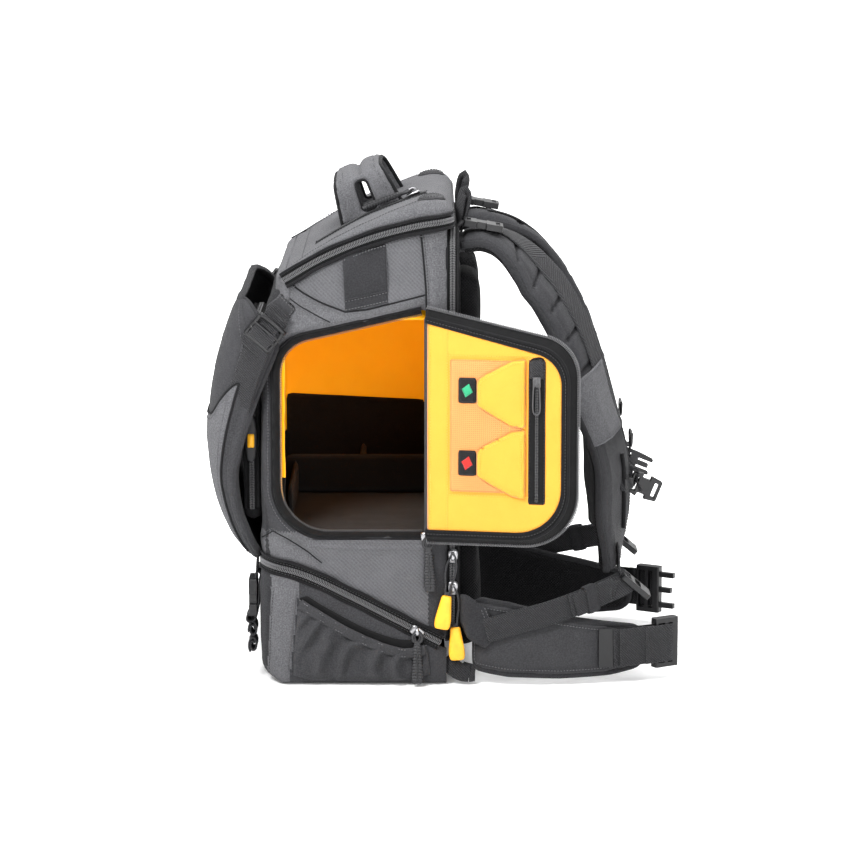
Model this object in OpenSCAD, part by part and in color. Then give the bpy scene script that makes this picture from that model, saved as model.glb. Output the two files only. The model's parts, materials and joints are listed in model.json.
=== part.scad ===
// Camera backpack with side access door, opening top lid, fold-down front flap,
// rear access back panel with harness, and hip belt.
// Frame: +Z up, front faces -Y, harness on +Y, wearer's right on +X.
// Origin: centre of the base, on the ground.

/* [Body] */
// Width of the body across the side panels
body_w = 292; // [288:1:293]
// Thickness of the padded wall panels
wall_t = 8; // [6:0.5:8]
// Thickness of the lower pouch wall
pouch_t = 6; // [4:1:8]
// Thickness of the lining
lining_t = 2.6; // [1.5:0.1:2.7]

/* [Side door] */
// Angle of the side door at rest, measured from shut
door_open = 170; // [120:5:170]
// Thickness of the padded door panel
door_t = 7; // [5:0.5:7]

/* [Webbing] */
// Width of the narrow webbing
web_w = 25; // [20:1:25]
// Width of the hip belt webbing
belt_w = 38; // [30:1:38]
// Webbing thickness
web_t = 1.8; // [1.2:0.1:1.9]

/* [Harness] */
// Width of a shoulder pad
pad_w = 64; // [50:1:64]
// Thickness of a shoulder pad
pad_t = 19; // [14:1:19]
// Thickness of a hip wing
wing_t = 12; // [8:1:12]

/* [Zippers] */
// Length of the moulded cord pulls
pull_l = 44; // [30:1:44]
// Length of the rear cord toggles
toggle_l = 33; // [24:1:33]

/* [Hidden] */

charcoal = "#4a4a4f";
twill = "#6c6d72";
black = "#1f1f22";
yellow = "#f6c436";
plastic = "#3a3b3e";
metal = "#a9abad";
tan_mesh = "#d9a35c";
tag_green = "#2c9c74";
tag_red = "#b3342f";

// ---- extrusions between two planes; outlines are [y, z], [x, z] and [x, y] ----
module along_x(from, to)
  translate([from, 0, 0]) rotate([90, 0, 90]) linear_extrude(height = to - from) children();
module along_y(from, to)
  translate([0, to, 0]) rotate([90, 0, 0]) linear_extrude(height = to - from) children();
module along_z(from, to) translate([0, 0, from]) linear_extrude(height = to - from) children();
module left() mirror([1, 0, 0]) children();
module both() {
  children();
  left() children();
}

// ---- outlines and paths ----
function unit(v) = v / norm(v);
function slope(a, b) = atan2(b[1] - a[1], b[0] - a[0]);
function rev(list) = [for (i = [len(list) - 1 : -1 : 0]) list[i]];
function slice(list, first, last) = [for (i = [first : last]) list[i]];
function shift_z(path, rise) = [for (p = path) [p[0], p[1] + rise]];
function rect(low, high) = [low, [high[0], low[1]], high, [low[0], high[1]]];
// half an outline followed by its mirror image across x = 0
function symmetric(half) = concat(half, [for (p = rev(half)) [-p[0], p[1]]]);
// signed turn from one direction to another, the short way round
function turn_between(a, b) =
  let (turn = b - a) turn > 180 ? turn - 360 : turn < -180 ? turn + 360 : turn;
// the arc that rounds one corner between its neighbours
function fillet(before, corner, after, radius, steps) = radius <= 0 ? [corner] :
  let (back = unit(before - corner),
       ahead = unit(after - corner),
       half_angle = acos(max(-1, min(1, back * ahead))) / 2,
       reach = radius / tan(half_angle),
       centre = corner + unit(back + ahead) * radius / sin(half_angle),
       start = corner + back * reach - centre,
       end = corner + ahead * reach - centre,
       start_angle = atan2(start[1], start[0]),
       sweep = turn_between(start_angle, atan2(end[1], end[0])))
  [for (i = [0 : steps]) let (angle = start_angle + sweep * i / steps)
    centre + radius * [cos(angle), sin(angle)]];
// radii is one radius for every corner, or a list with one for each
function rounded(points, radii, steps = 6) = let (count = len(points))
  [for (i = [0 : count - 1]) each fillet(points[(i + count - 1) % count], points[i],
    points[(i + 1) % count], is_num(radii) ? radii : radii[i], steps)];
// half widths at the near end, belly and far end; radii are [end corners, belly]
function barrel(near, belly, belly_at, far, length, radii, steps) = rounded(
  [[-near, 0], [near, 0], [belly, belly_at], [far, length], [-far, length], [-belly, belly_at]],
  [radii[0], radii[0], radii[1], radii[0], radii[0], radii[1]], steps);
function tangent(path, i) = unit(path[min(len(path) - 1, i + 1)] - path[max(0, i - 1)]);
function offset_path(path, distance) = [for (i = [0 : len(path) - 1])
  let (along = tangent(path, i)) path[i] + distance * [-along[1], along[0]]];
// a strip that follows a path, between two offsets on its left
function strip(path, a, b) = concat(offset_path(path, a), rev(offset_path(path, b)));

// ---- shared positions and curves ----
half_width = body_w / 2;
front_y = -96;
rear_y = 81;
inner_x = half_width - wall_t;      // inner face of a side panel
inner_front_y = front_y + wall_t;   // inner face of the front panel
seam_gap = 4;      // panel edges stand this far off the zipper lines
zip_half = 3.4;    // half width of a zipper track
lid_half = 144;    // half width of the lid

// [y, z], front to rear
lid_seam = [[-75, 389], [-35, 412], [9, 430], [rear_y, 446]];
pouch_line = [[front_y, 119], [-55, 108], [-11, 87], [67, 46], [rear_y, 39]];
front_edge = [[front_y, 336], [-91, 364]]; // top of the front face
body_plan = rounded(rect([-half_width, front_y], [half_width, rear_y]), [18, 18, 0, 0]);

// side door outline [y, z]; the rear edge, by the hinge, grows by 1.6 at most
function door_outline(grow) = let (hinge_edge = 60 + min(grow, 1.6)) rounded(
  [[hinge_edge, 151 - grow], [hinge_edge, 358 + grow], [-76 - grow, 326 + grow],
   [-76 - grow, 151 - grow]],
  [2, 2, 34, 46], 8);

// ---- main body ----
module within_body_plan() intersection() {
  children();
  along_z(0, 500) polygon(body_plan);
}
module side_outline() polygon(concat(
  shift_z(rev(pouch_line), seam_gap), front_edge, shift_z(lid_seam, -seam_gap)));
module side_panel_right() color(charcoal) within_body_plan() difference() {
  along_x(inner_x, half_width) side_outline();
  along_x(inner_x - 1, half_width + 1) polygon(door_outline(6.2));
}
module side_panel_left() color(charcoal) within_body_plan()
  along_x(-half_width, -inner_x) side_outline();

module front_panel() color(charcoal) within_body_plan() {
  bottom = pouch_line[0][1] + seam_gap;
  along_x(-inner_x + 0.2, inner_x - 0.2) polygon(concat(
    [[front_y, bottom]], front_edge,
    [[-76, 385], [-69, 380], [-83, 360], [inner_front_y, 334], [inner_front_y, bottom]]));
}

pouch_half = 148;
// the inset outline is raised at its top, so that the cavity opens upwards
function pouch_outline(inset) =
  let (rim = shift_z(pouch_line, -seam_gap),
       raise = inset > 0 ? 20 : 0,
       rear_raise = inset > 0 ? 8 : 0)
  concat(
    [[rear_y - inset, rim[4][1] - 1.5 * inset + rear_raise], [rear_y - inset, 8 + inset],
     [74 - inset, inset], [-72 + inset, inset], [-90 + inset, 7 + inset],
     [front_y + inset, 20 + inset], [front_y + inset, rim[0][1] + raise]],
    shift_z(slice(rim, 1, 3), raise));
module pouch_blank(inset) intersection() {
  side = pouch_half - inset;
  along_x(-side, side) polygon(pouch_outline(inset));
  along_z(-1, 200) polygon(rounded(
    rect([-side, front_y + inset], [side, rear_y - inset]), [24 - inset, 24 - inset, 3, 3]));
  along_y(-200, 200) polygon(symmetric(
    [[112 - inset, inset], [136 - inset, 3 + inset], [side, 12 + inset], [side, 200]]));
}
module lower_pouch() color(charcoal) difference() {
  pouch_blank(0);
  pouch_blank(pouch_t);
}
module pouch_zipper_track() color(black) {
  side_line = concat([[-72, 112.5]], slice(pouch_line, 1, 3), [[79, 40]]);
  front_z = pouch_line[0][1];
  both() along_x(144, 147)
    polygon(concat(shift_z(side_line, -zip_half), rev(shift_z(side_line, zip_half))));
  along_y(front_y, front_y + 3)
    polygon(rect([-120, front_z - zip_half], [120, front_z + zip_half]));
}
module stretch_pockets() color(charcoal) both() along_x(148.4, 150.8) polygon(
  rounded([[-58, 95], [-71, 22], [-52, 13], [64, 13], [62, 40]], [3, 4, 8, 8, 5], 4));

lining_gap = 0.2;       // between the walls and the lining
lining_bottom = 147.6;  // lower edge of the lining walls and lens dividers
module compartment_lining() color(yellow) {
  side_x = -inner_x + lining_gap;
  front = inner_front_y + lining_gap;
  along_x(side_x, side_x + lining_t) polygon([[-84.8, lining_bottom], [80, lining_bottom],
    [80, 430], [9, 414], [-70, 374], [-84.8, 340]]);
  along_y(front, front + lining_t) polygon(rect([-137.5, lining_bottom], [130, 333]));
  translate([-inner_x + 0.3, front, 140]) cube([2 * inner_x - 0.6, 167.6, 7.2]); // floor
}
module shelf_divider() color(yellow) translate([-134.8, -83.2, 350]) cube([267, 163.2, 6]);
module lens_dividers() color(black) translate([0, 0, lining_bottom]) {
  translate([-60, -84.6, 0]) cube([6, 164.4, 60]);
  translate([-134.8, -6, 0]) cube([74.4, 6, 60]);
  translate([-53.6, -72, 0]) cube([150, 5, 56]);
}

// runs round the door, but not along its hinge edge
module door_zipper_track() color(black) along_x(141, half_width) difference() {
  polygon(door_outline(5.7));
  polygon(door_outline(0.9));
  translate([58, 100]) square([24, 300]);
  translate([43, 300]) square([39, 100]);
}
module rear_zipper_track() color(black) difference() {
  along_x(-141.2, 141.2) polygon(rect([81.3, 44], [91.4, 437.5]));
  along_x(-138.8, 138.8) polygon(rect([80, 40], [95, 433]));
}
module lid_zipper_track() color(black) difference() {
  along_x(-lid_half, lid_half) polygon(concat(
    shift_z(lid_seam, -zip_half), [[83.2, 442.9], [83.2, 449]], rev(shift_z(lid_seam, 2.6))));
  along_x(-141.4, 141.4) polygon(rect([-100, 300], [80.8, 500]));
}
module front_pocket() color(charcoal)
  along_y(-113.5, -96.6) polygon(rounded(rect([-118, 153], [118, 334]), 16));
module sewn_tabs() color(black) both() {
  along_x(half_width + 0.3, half_width + 2.4)
    polygon([[-84, 378], [-62, 363], [-80, 342], [-92, 350], [-94, 364]]);
  along_x(half_width + 0.3, half_width + 2)
    polygon([[-14, 415], [26, 427], [26, 368], [-14, 358]]);
}

pouch_strap_x = 110;
pouch_strap_half = 12.5;
pouch_strap_y = -99.6;
module pouch_straps() color(plastic) both() translate([pouch_strap_x, 0, 0]) {
  along_y(pouch_strap_y, pouch_strap_y + web_t)
    polygon(rect([-pouch_strap_half, 24], [pouch_strap_half, 100]));
  difference() {
    along_y(-112, -100)
      polygon(rounded(rect([-pouch_strap_half, 24], [pouch_strap_half, 60]), 2, 3));
    for (z = [28, 44]) along_x(-20, 20) polygon(rect([-109, z], [-103, z + 12]));
  }
}
// a flat side-release buckle, its length along Z
module side_release(width, length, thickness) {
  half = width / 2;
  difference() {
    along_y(0, thickness)
      polygon(barrel(half, half + 2.5, length * 0.42, half, length, [2, 4], 4));
    for (side = [-1, 1]) along_y(-1, thickness + 1) polygon([
      [side * (half + 9), length * 0.3], [side * (half - 2.4), length * 0.34],
      [side * (half - 2.4), length * 0.58], [side * (half + 9), length * 0.6]]);
    for (z = [3, length - 7]) along_y(-1, thickness + 1)
      polygon(rect([3 - half, z], [half - 3, z + 4]));
  }
}
module pouch_buckles() color(plastic) both()
  translate([pouch_strap_x, -109, 62]) side_release(width = 29, length = 37, thickness = 8);

// ---- zipper sliders and pulls: x is out of the face, z along the zipper ----
pin_x = 5.2;           // height of the slider's pin above the face
pull_eye_width = 4.4;
// pin_turn turns the pin and its posts back from the zipper's line
module slider_body(pin_turn = 0) {
  difference() {
    translate([0, -4.5, -6.5]) cube([2.8, 9, 13]);
    translate([-1, -1.2, -8]) cube([2.4, 2.4, 6]);
  }
  rotate([-pin_turn, 0, 0]) {
    for (side = [-1, 1]) translate([2.6, side * 3.2 - 0.6, -1.9]) cube([3.8, 1.2, 3.8]);
    translate([pin_x, -3.2, 0]) rotate([-90, 0, 0]) cylinder(r = 0.9, h = 6.4, $fn = 32);
  }
}
module eye() translate([pin_x, -pull_eye_width / 2, 0]) rotate([-90, 0, 0]) difference() {
  cylinder(r = 2.2, h = pull_eye_width, $fn = 32);
  translate([0, 0, -1]) cylinder(r = 1.0, h = pull_eye_width + 2, $fn = 32);
}
// moulded ribbed pull, hangs towards -z
module cord_grip(length) {
  eye();
  translate([4.3, -2.2, -10]) cube([1.8, 4.4, 8.2]);
  translate([3.4, -4.2, -length]) cube([3.6, 8.4, length - 9]);
  for (i = [0 : 8])
    translate([3.0, -4.8, -13.5 - i * (length - 16) / 9]) cube([4.4, 9.6, 1.6]);
}
module at_door_slider() translate([146.4, 63, 144.6]) children();
module door_slider() color(metal) at_door_slider() rotate([90, 0, 0]) slider_body(90);
module door_pull() color(black) at_door_slider() rotate([2.5, 0, 0]) cord_grip(pull_l + 8);

// flat moulded grip, its top face at the origin
module toggle_body() translate([0, 0, -toggle_l]) intersection() {
  along_x(-4.2, 4.2) polygon(barrel(5.2, 8.2, toggle_l * 0.38, 6, toggle_l, [2, 6], 5));
  along_y(-20, 20) polygon(barrel(3, 4.2, toggle_l * 0.4, 3.2, toggle_l, [1, 5], 4));
}
// two cords from the slider's pin down to the grip, leaning towards +Y and +X
cord_length = 38;
module cord_toggle(lean_y, lean_x) {
  eye();
  translate([pin_x, 0, 0]) rotate([lean_y, -lean_x, 0]) {
    for (side = [-1, 1]) translate([0, side * 1.1, -cord_length])
      cylinder(r = 0.95, h = cord_length - 1.4, $fn = 24);
    translate([0, 0, 1 - cord_length]) toggle_body();
  }
}
upper_slider_z = 125;
lower_slider_z = 94;
module at_rear_slider(z) translate([141.5, 87, z]) children();
module rear_slider_upper() color(metal) at_rear_slider(upper_slider_z) slider_body();
module toggle_upper() color(yellow) at_rear_slider(upper_slider_z) cord_toggle(-9, 7);
module rear_slider_lower() color(metal) at_rear_slider(lower_slider_z) slider_body();
module toggle_lower() color(yellow) at_rear_slider(lower_slider_z) cord_toggle(3.5, 0);

// the pouch slider runs down the sloping side zipper
pouch_tilt = 90 + slope(pouch_line[2], pouch_line[3]);
module at_pouch_slider() translate([148.3, 53, 53.2]) children();
module pouch_slider() color(metal)
  at_pouch_slider() rotate([pouch_tilt, 0, 0]) slider_body(pouch_tilt);
module pouch_pull() color(black) at_pouch_slider() cord_grip(pull_l + 6);
module front_zip_pull() color(black) translate([118.3, -105.5, 262]) {
  translate([0, -4, -6]) cube([2.8, 8, 12]);
  translate([2.8, -3.4, -38]) cube([5, 6.8, 40]);
}

// ---- side door, drawn shut and then swung open about its rear edge ----
hinge = [152.3, 61, 0];
door_face_x = 145.5;
module swing() translate(hinge) rotate([0, 0, door_open]) translate(-hinge) children();
module door_panel() color(charcoal) swing()
  along_x(door_face_x - door_t, door_face_x) polygon(door_outline(0));
module door_lining() color(yellow) swing() along_x(136.4, 138.2) polygon(door_outline(-4));
module door_mesh_pocket() color(tan_mesh) swing()
  along_x(135.2, 136.2) polygon(rev(rect([-33, 194], [35, 320])));
module door_pocket_zipper() color(black) swing() along_x(134.4, 136.2)
  polygon(rounded([[-40, 184], [-40, 323], [-55, 323], [-55, 184]], [1, 4, 4, 1], 4));
module door_pocket_pull() color(black) swing() {
  translate([131.6, -50.5, 294]) cube([2.6, 6, 9]);
  translate([130, -49.5, 272]) cube([1.4, 4, 28]);
  translate([131.2, -48.5, 296]) cube([0.6, 2, 3]);
}
card_x = 133.9; // inner face of the card flaps and tags
module card_flap(z) color(yellow) swing() along_x(card_x, 135.0) polygon(rounded(
  [[-36.5, z + 32], [8, z + 15], [8, z - 15], [-36.5, z - 32]], [1, 7, 7, 1], 5));
module card_flap_upper() card_flap(289);
module card_flap_lower() card_flap(222);
module card_tag(z) swing() along_x(card_x, 134.9) polygon(rect([8.3, z - 12], [26, z + 12]));
module card_tag_upper() color(tag_green) card_tag(291);
module card_tag_lower() color(tag_red) card_tag(222);

// ---- top lid, hinged along its front edge ----
// outer top face and inner cavity, [y, z]
lid_top = [[-78, 393], [-69, 399], [-40, 419], [-11, 437], [28, 453], [65, 466],
  [80, 463], [87, 455], [87, 450.5]];
lid_cavity = [[-62, 395], [9, 425], [80, 440], [80, 457], [64, 460], [28, 447],
  [-11, 431], [-40, 413], [-62, 398.5]];
lid_slope = slope(lid_top[3], lid_top[5]);
module lid_panel() color(charcoal) difference() {
  along_x(-lid_half, lid_half)
    polygon(concat([[-78, 391.4]], shift_z(lid_seam, 3), [[87, 449.2]], rev(lid_top)));
  along_x(-138, 138) polygon(lid_cavity);
}
// half outlines [x, z]: outer from the right foot up, inner from the left foot up
handle_outer = [[62, 0], [54, 26], [34, 42]];
handle_inner = [[-52, 0], [-45, 22], [-30, 33]];
module carry_handle() color(twill)
  translate([0, 9, 446.2]) rotate([lid_slope, 0, 0]) difference() {
    along_y(-29, 29) polygon(concat(
      rounded(symmetric(handle_outer), [0, 16, 16, 16, 16, 0]),
      rounded(symmetric(handle_inner), [0, 12, 12, 12, 12, 0])));
    translate([-100, -8, -1]) cube([200, 15, 22]);
  }
// turns the zipper frame so that x leaves the lid's top face
module on_lid()
  translate([74, 50, 462.0]) rotate([lid_slope, 0, 0]) rotate([0, -90, -90]) children();
module on_lid_track() on_lid() translate([1.6, 0, 0]) children();
module lid_pocket_zipper() color(black) on_lid() translate([0.2, -6, -96]) cube([1.2, 12, 108]);
module top_slider() color(metal) on_lid_track() slider_body();
module top_pull() color(black) on_lid_track() cord_grip(pull_l + 6);

// ---- front flap ----
flap_half = 155;
flap_t = 6;
// front face and rear edge of the flap, [y, z], bottom to top
flap_face = [[-106, 119], [-125, 152], [-139, 196], [-144, 241], [-140, 288], [-131, 332],
  [-117, 370]];
flap_rear = [[-101, 119], [-105, 128], [-118, 165], [-122, 200], [-116, 228], [-97, 284],
  [-81, 325], [-83, 334], [-104, 366]];
module flap_blank(inset) intersection() {
  side = flap_half - inset;
  corner = 34 - inset;
  along_x(-side, side)
    polygon(concat([for (p = flap_face) [p[0] + inset, p[1]]], [[-60, 372], [-60, 117]]));
  along_z(100, 400)
    polygon(rounded(rect([-side, -146 + inset], [side, -50]), [corner, corner, 0, 0], 8));
}
module flap_panel() color(twill) intersection() {
  difference() {
    flap_blank(0);
    flap_blank(flap_t);
  }
  along_x(-160, 160) polygon(concat(rev(flap_face), flap_rear));
}
module flap_straps() color(black) both() along_x(flap_half + 0.5, flap_half + 0.5 + web_t)
  polygon([[-121, 301], [-101, 285], [-84, 333], [-104, 350]]);
module flap_ladder_locks() color(plastic) both()
  translate([158, -90, 343]) rotate([-40, 0, 0]) difference() {
    translate([0, -16, -13]) cube([4.6, 32, 26]);
    for (z = [-9.5, 0.5]) translate([-1, -12.5, z]) cube([7, 25, 5.5]);
    translate([2.6, -20, -14]) rotate([0, 25, 0]) cube([6, 40, 4]);
  }

// ---- back panel ----
back_pad_t = 27;
back_pad_y = 90.4;
module back_board() color(black) along_y(84.4, 90)
  polygon(rounded(rect([-137.6, 12], [137.6, 432]), [12, 12, 30, 30]));
// a rounded pad with its two long rear edges chamfered
module pad_block(width, height) intersection() {
  half = width / 2;
  rear = back_pad_y + back_pad_t;
  along_y(back_pad_y, rear) polygon(rounded(rect([-half, 0], [half, height]), 16));
  along_z(-1, height + 1)
    polygon(symmetric([[-half, 90], [-half, rear - 10], [10 - half, rear]]));
}
module back_pads() color(black) {
  both() translate([70, 0, 150]) pad_block(92, 246);
  translate([0, 0, 22]) pad_block(216, 114);
}
// triangular anchor of the adjuster webbing [y, z] and the strip that carries it [x, y]
anchor = [[92.8, 66], [101, 66], [101, 50], [117, 38], [128, 52], [119, 76], [101, 88],
  [92.8, 88]];
anchor_strip = [[112, 90.3], [136, 90.3], [136, 92.2], [155.8, 92.2], [155.8, 94.4],
  [112, 94.4]];
// loop at a top corner, [y, z]
grab_loop = [[90.3, 404], [93, 404], [93, 431], [101, 431], [101, 467], [91.9, 467],
  [91.9, 432], [90.3, 432]];
module back_webbing() color(charcoal) both() {
  along_x(154.5, 157) polygon(anchor);
  along_z(67, 81) polygon(anchor_strip);
  along_x(64, 86) polygon(rounded(grab_loop, [0, 0, 0, 0, 4, 4, 0, 0], 4));
}
// [x, y, z] from the anchor to the shoulder strap
adjuster_path = [[156.7, 129, 56], [156.7, 186, 74], [122, 247, 91]];
module webbing_run(from, to) {
  span = to - from;
  length = norm([span[0], span[1]]);
  translate(from) rotate([0, 0, atan2(span[1], span[0])]) rotate([90, 0, 0])
    translate([0, 0, -web_t / 2]) linear_extrude(height = web_t)
      polygon([[0, -10], [length, span[2] - 10], [length, span[2] + 10], [0, 10]]);
}
module adjuster_webbing() color(black) both()
  for (i = [0, 1]) webbing_run(adjuster_path[i], adjuster_path[i + 1]);

// ---- shoulder straps, drawn on the right and mirrored for the left ----
strap_x = 90;
pad_outer_x = 122;
// pad centre line [y, z], top to bottom
strap_path = [[95, 420], [118, 422], [140, 417], [165, 404], [182, 388], [196, 368],
  [214, 333], [228, 290], [237, 241], [241, 192], [241, 143], [240, 104]];
module shoulder_pad() color(charcoal) along_x(pad_outer_x - pad_w, pad_outer_x)
  polygon(strip(strap_path, -pad_t / 2, pad_t / 2));
// webbing along the pad, and a short wide cross piece over it
module strap_webbing() color(black) {
  web_path = slice(offset_path(strap_path, 12), 2, 8);
  cross_path = slice(offset_path(strap_path, 15.6), 7, 8);
  along_x(strap_x - web_w / 2, strap_x + web_w / 2)
    polygon(strip(web_path, -web_t / 2, web_t / 2));
  along_x(strap_x - 22, strap_x + 22) polygon(strip(cross_path, -1.2, 1.2));
}
// side-release buckle at the top, two-slot lock at the bottom
module strap_buckles() color(plastic) {
  translate([101, 113, 441.5]) rotate([-100, 0, 0]) translate([0, 0, -16])
    side_release(width = 28, length = 38, thickness = 6);
  translate([104, 261, 91.5]) rotate([-130, 0, 0]) translate([0, -2.5, -14]) difference() {
    along_y(0, 5.2) polygon(rounded(rect([-16, 0], [16, 34]), 3, 4));
    along_y(-1, 7) polygon(rect([-12.8, 4], [12.8, 10]));
    along_y(-1, 7) polygon(rect([-12.8, 15], [12.8, 22]));
  }
}
ring_r = 13;
ring_wire_r = 1.7;
module d_ring() color(plastic) translate([strap_x, 258.5, 236]) {
  rotate([0, 90, 0]) translate([0, 0, -ring_r])
    cylinder(r = ring_wire_r, h = 2 * ring_r, $fn = 32);
  difference() {
    rotate([90, 0, 0]) rotate_extrude($fn = 64)
      translate([ring_r, 0]) circle(r = ring_wire_r, $fn = 24);
    translate([-20, -5, 0]) cube([40, 10, 20]);
  }
}
// webbing tab with two lugs that carry a buckle half
module sternum_web() {
  translate([66, 252.8, 176]) cube([web_w, 3, 14]);
  for (x = [66, 72]) translate([x, 255.6, 178]) cube([3, 7, 10]);
}
module sternum_pose()
  translate([70, 260, 184]) rotate([-112, 0, 0]) rotate([0, 0, 90]) children();
// right half of the three-pronged buckle outline [x, z], and its corner radii
prong_half = [[10, 0], [10, 14], [8.5, 30], [5, 30], [5, 15], [2.2, 15], [2.2, 27]];
prong_radii = [1.5, 2, 1.5, 1.5, 1, 1, 1];
module sternum_buckle_right() color(plastic) {
  sternum_web();
  sternum_pose() side_release(width = 20, length = 30, thickness = 8);
}
module sternum_buckle_left() color(plastic) left() {
  sternum_web();
  sternum_pose() difference() {
    along_y(0, 7)
      polygon(rounded(symmetric(prong_half), concat(prong_radii, rev(prong_radii)), 3));
    along_y(-1, 8) polygon(rect([-7, 3], [7, 7]));
  }
}
module shoulder_pad_right() shoulder_pad();
module shoulder_pad_left() left() shoulder_pad();
module strap_webbing_right() strap_webbing();
module strap_webbing_left() left() strap_webbing();
module strap_buckles_right() strap_buckles();
module strap_buckles_left() left() strap_buckles();
module d_ring_right() d_ring();
module d_ring_left() left() d_ring();

// ---- hip belt ----
belt_z = 36;
// plan path [x, y] and side outline [y, z] of a wing, and plan path of its webbing
wing_path = [[112, 101], [130, 101], [143, 105.5], [150, 117], [153, 135], [153.5, 155],
  [152, 185], [146, 220], [137, 248], [126, 274]];
wing_side = [[96, 14], [96, 86], [140, 79], [190, 66], [240, 57], [276, 52], [276, 14],
  [240, 9], [190, 8], [140, 10]];
wing_radii = [4, 8, 20, 40, 40, 17, 17, 30, 40, 30];
belt_path = [[147.2, 226], [138.4, 252], [127.4, 276], [118, 292]];
module hip_wing() color(charcoal) intersection() {
  along_z(0, 100) polygon(strip(wing_path, 0, wing_t));
  along_x(60, 200) polygon(rounded(wing_side, wing_radii));
}
module hip_wing_right() hip_wing();
module hip_wing_left() left() hip_wing();
module belt_web() along_z(belt_z - belt_w / 2, belt_z + belt_w / 2)
  polygon(strip(belt_path, -web_t, 0));
module waist_pose() translate([112.5, 301, belt_z]) rotate([0, 0, 30]) children();
// frame with two slots for the webbing
module belt_frame() difference() {
  along_z(-24, 24) polygon(rounded(rect([-5, -24], [5, 2]), 2, 4));
  translate([-6, -21, -belt_w / 2 - 0.5]) cube([12, 7, belt_w + 1]);
  translate([-6, -10, -belt_w / 2 - 0.5]) cube([12, 5, belt_w + 1]);
}
module waist_buckle_female() color(plastic) {
  belt_web();
  waist_pose() belt_frame();
}
module waist_buckle_male() color(plastic) left() {
  belt_web();
  waist_pose() {
    belt_frame();
    for (side = [-1, 1]) translate([-2.5, 1.5, side * 16 - 2.5]) cube([5, 16, 5]);
    translate([-2.5, 1.5, -2.5]) cube([5, 13, 5]);
  }
}

side_panel_right();
side_panel_left();
front_panel();
lower_pouch();
pouch_zipper_track();
stretch_pockets();
compartment_lining();
shelf_divider();
lens_dividers();
door_zipper_track();
rear_zipper_track();
lid_zipper_track();
front_pocket();
sewn_tabs();
pouch_straps();
pouch_buckles();
door_slider();
door_pull();
rear_slider_upper();
toggle_upper();
rear_slider_lower();
toggle_lower();
pouch_slider();
pouch_pull();
front_zip_pull();
door_panel();
door_lining();
door_mesh_pocket();
door_pocket_zipper();
door_pocket_pull();
card_flap_upper();
card_flap_lower();
card_tag_upper();
card_tag_lower();
lid_panel();
carry_handle();
lid_pocket_zipper();
top_slider();
top_pull();
flap_panel();
flap_straps();
flap_ladder_locks();
back_board();
back_pads();
back_webbing();
adjuster_webbing();
shoulder_pad_right();
strap_webbing_right();
strap_buckles_right();
d_ring_right();
sternum_buckle_right();
shoulder_pad_left();
strap_webbing_left();
strap_buckles_left();
d_ring_left();
sternum_buckle_left();
hip_wing_right();
waist_buckle_female();
hip_wing_left();
waist_buckle_male();
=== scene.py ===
"""A backpack that stands upright with the side door on its right swung open.

Lengths are millimetres until mesh() scales them to metres. +x is the bag's right side, which
faces the camera, -y its front, +y the back panel with the shoulder straps, +z is up.
A shape is a pair (vertices, faces); mesh() takes one shape or a list of them.
"""

import bpy
import bmesh
import json
import math
import numpy as np
from collections import defaultdict
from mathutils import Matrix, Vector
from mathutils.geometry import delaunay_2d_cdt


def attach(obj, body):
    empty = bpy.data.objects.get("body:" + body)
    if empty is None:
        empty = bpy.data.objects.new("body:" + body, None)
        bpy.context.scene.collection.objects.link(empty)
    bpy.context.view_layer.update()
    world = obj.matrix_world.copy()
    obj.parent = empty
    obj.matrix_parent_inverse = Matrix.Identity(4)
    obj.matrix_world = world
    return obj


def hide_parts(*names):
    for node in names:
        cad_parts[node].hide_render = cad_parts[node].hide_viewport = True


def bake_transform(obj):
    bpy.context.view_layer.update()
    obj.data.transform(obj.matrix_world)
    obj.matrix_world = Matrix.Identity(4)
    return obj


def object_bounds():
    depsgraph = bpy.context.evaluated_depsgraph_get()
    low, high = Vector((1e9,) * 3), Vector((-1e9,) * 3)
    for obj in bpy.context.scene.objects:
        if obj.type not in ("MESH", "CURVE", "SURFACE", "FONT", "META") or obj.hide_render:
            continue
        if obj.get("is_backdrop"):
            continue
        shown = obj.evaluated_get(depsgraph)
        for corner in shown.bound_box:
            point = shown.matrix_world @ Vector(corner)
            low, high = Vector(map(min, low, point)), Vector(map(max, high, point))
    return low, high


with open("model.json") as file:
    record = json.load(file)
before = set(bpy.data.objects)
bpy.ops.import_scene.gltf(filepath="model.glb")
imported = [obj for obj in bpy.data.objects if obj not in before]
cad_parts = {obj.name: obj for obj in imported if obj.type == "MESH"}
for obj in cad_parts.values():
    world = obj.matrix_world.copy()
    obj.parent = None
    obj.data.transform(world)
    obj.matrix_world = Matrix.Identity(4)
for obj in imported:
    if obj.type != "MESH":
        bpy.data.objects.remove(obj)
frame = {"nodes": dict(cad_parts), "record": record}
cad_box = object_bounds()
PI = math.pi
MM = 0.001
SIDES = (("right", 1), ("left", -1))


def detail(quick, full):
    """the step or count for full builds; quick is not used"""
    return full


# ------------------------------------------------------------------ numeric helpers
def vec(*values):
    return np.array(values, float)


def unit(vectors):
    return vectors / (np.linalg.norm(vectors, axis=-1, keepdims=True) + 1e-12)


def flip(vectors, side=-1):
    """mirrors vectors in x for side -1, keeps them for side 1"""
    return np.asarray(vectors, float) * vec(side, 1, 1)


def smooth(start, end, value):
    part = np.clip((value - start) / (end - start), 0, 1)
    return part * part * (3 - 2 * part)


def bell(distance, width):
    return np.exp(-(distance / width) ** 2)


def arch(part):
    """half a sine wave over 0..1"""
    return np.sin(PI * np.clip(part, 0, 1))


def lookup(curve, given=0):
    """function that reads one column of a curve from the other, given one"""
    curve = np.array(curve, float)
    return lambda value: np.interp(value, curve[:, given], curve[:, 1 - given])


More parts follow.
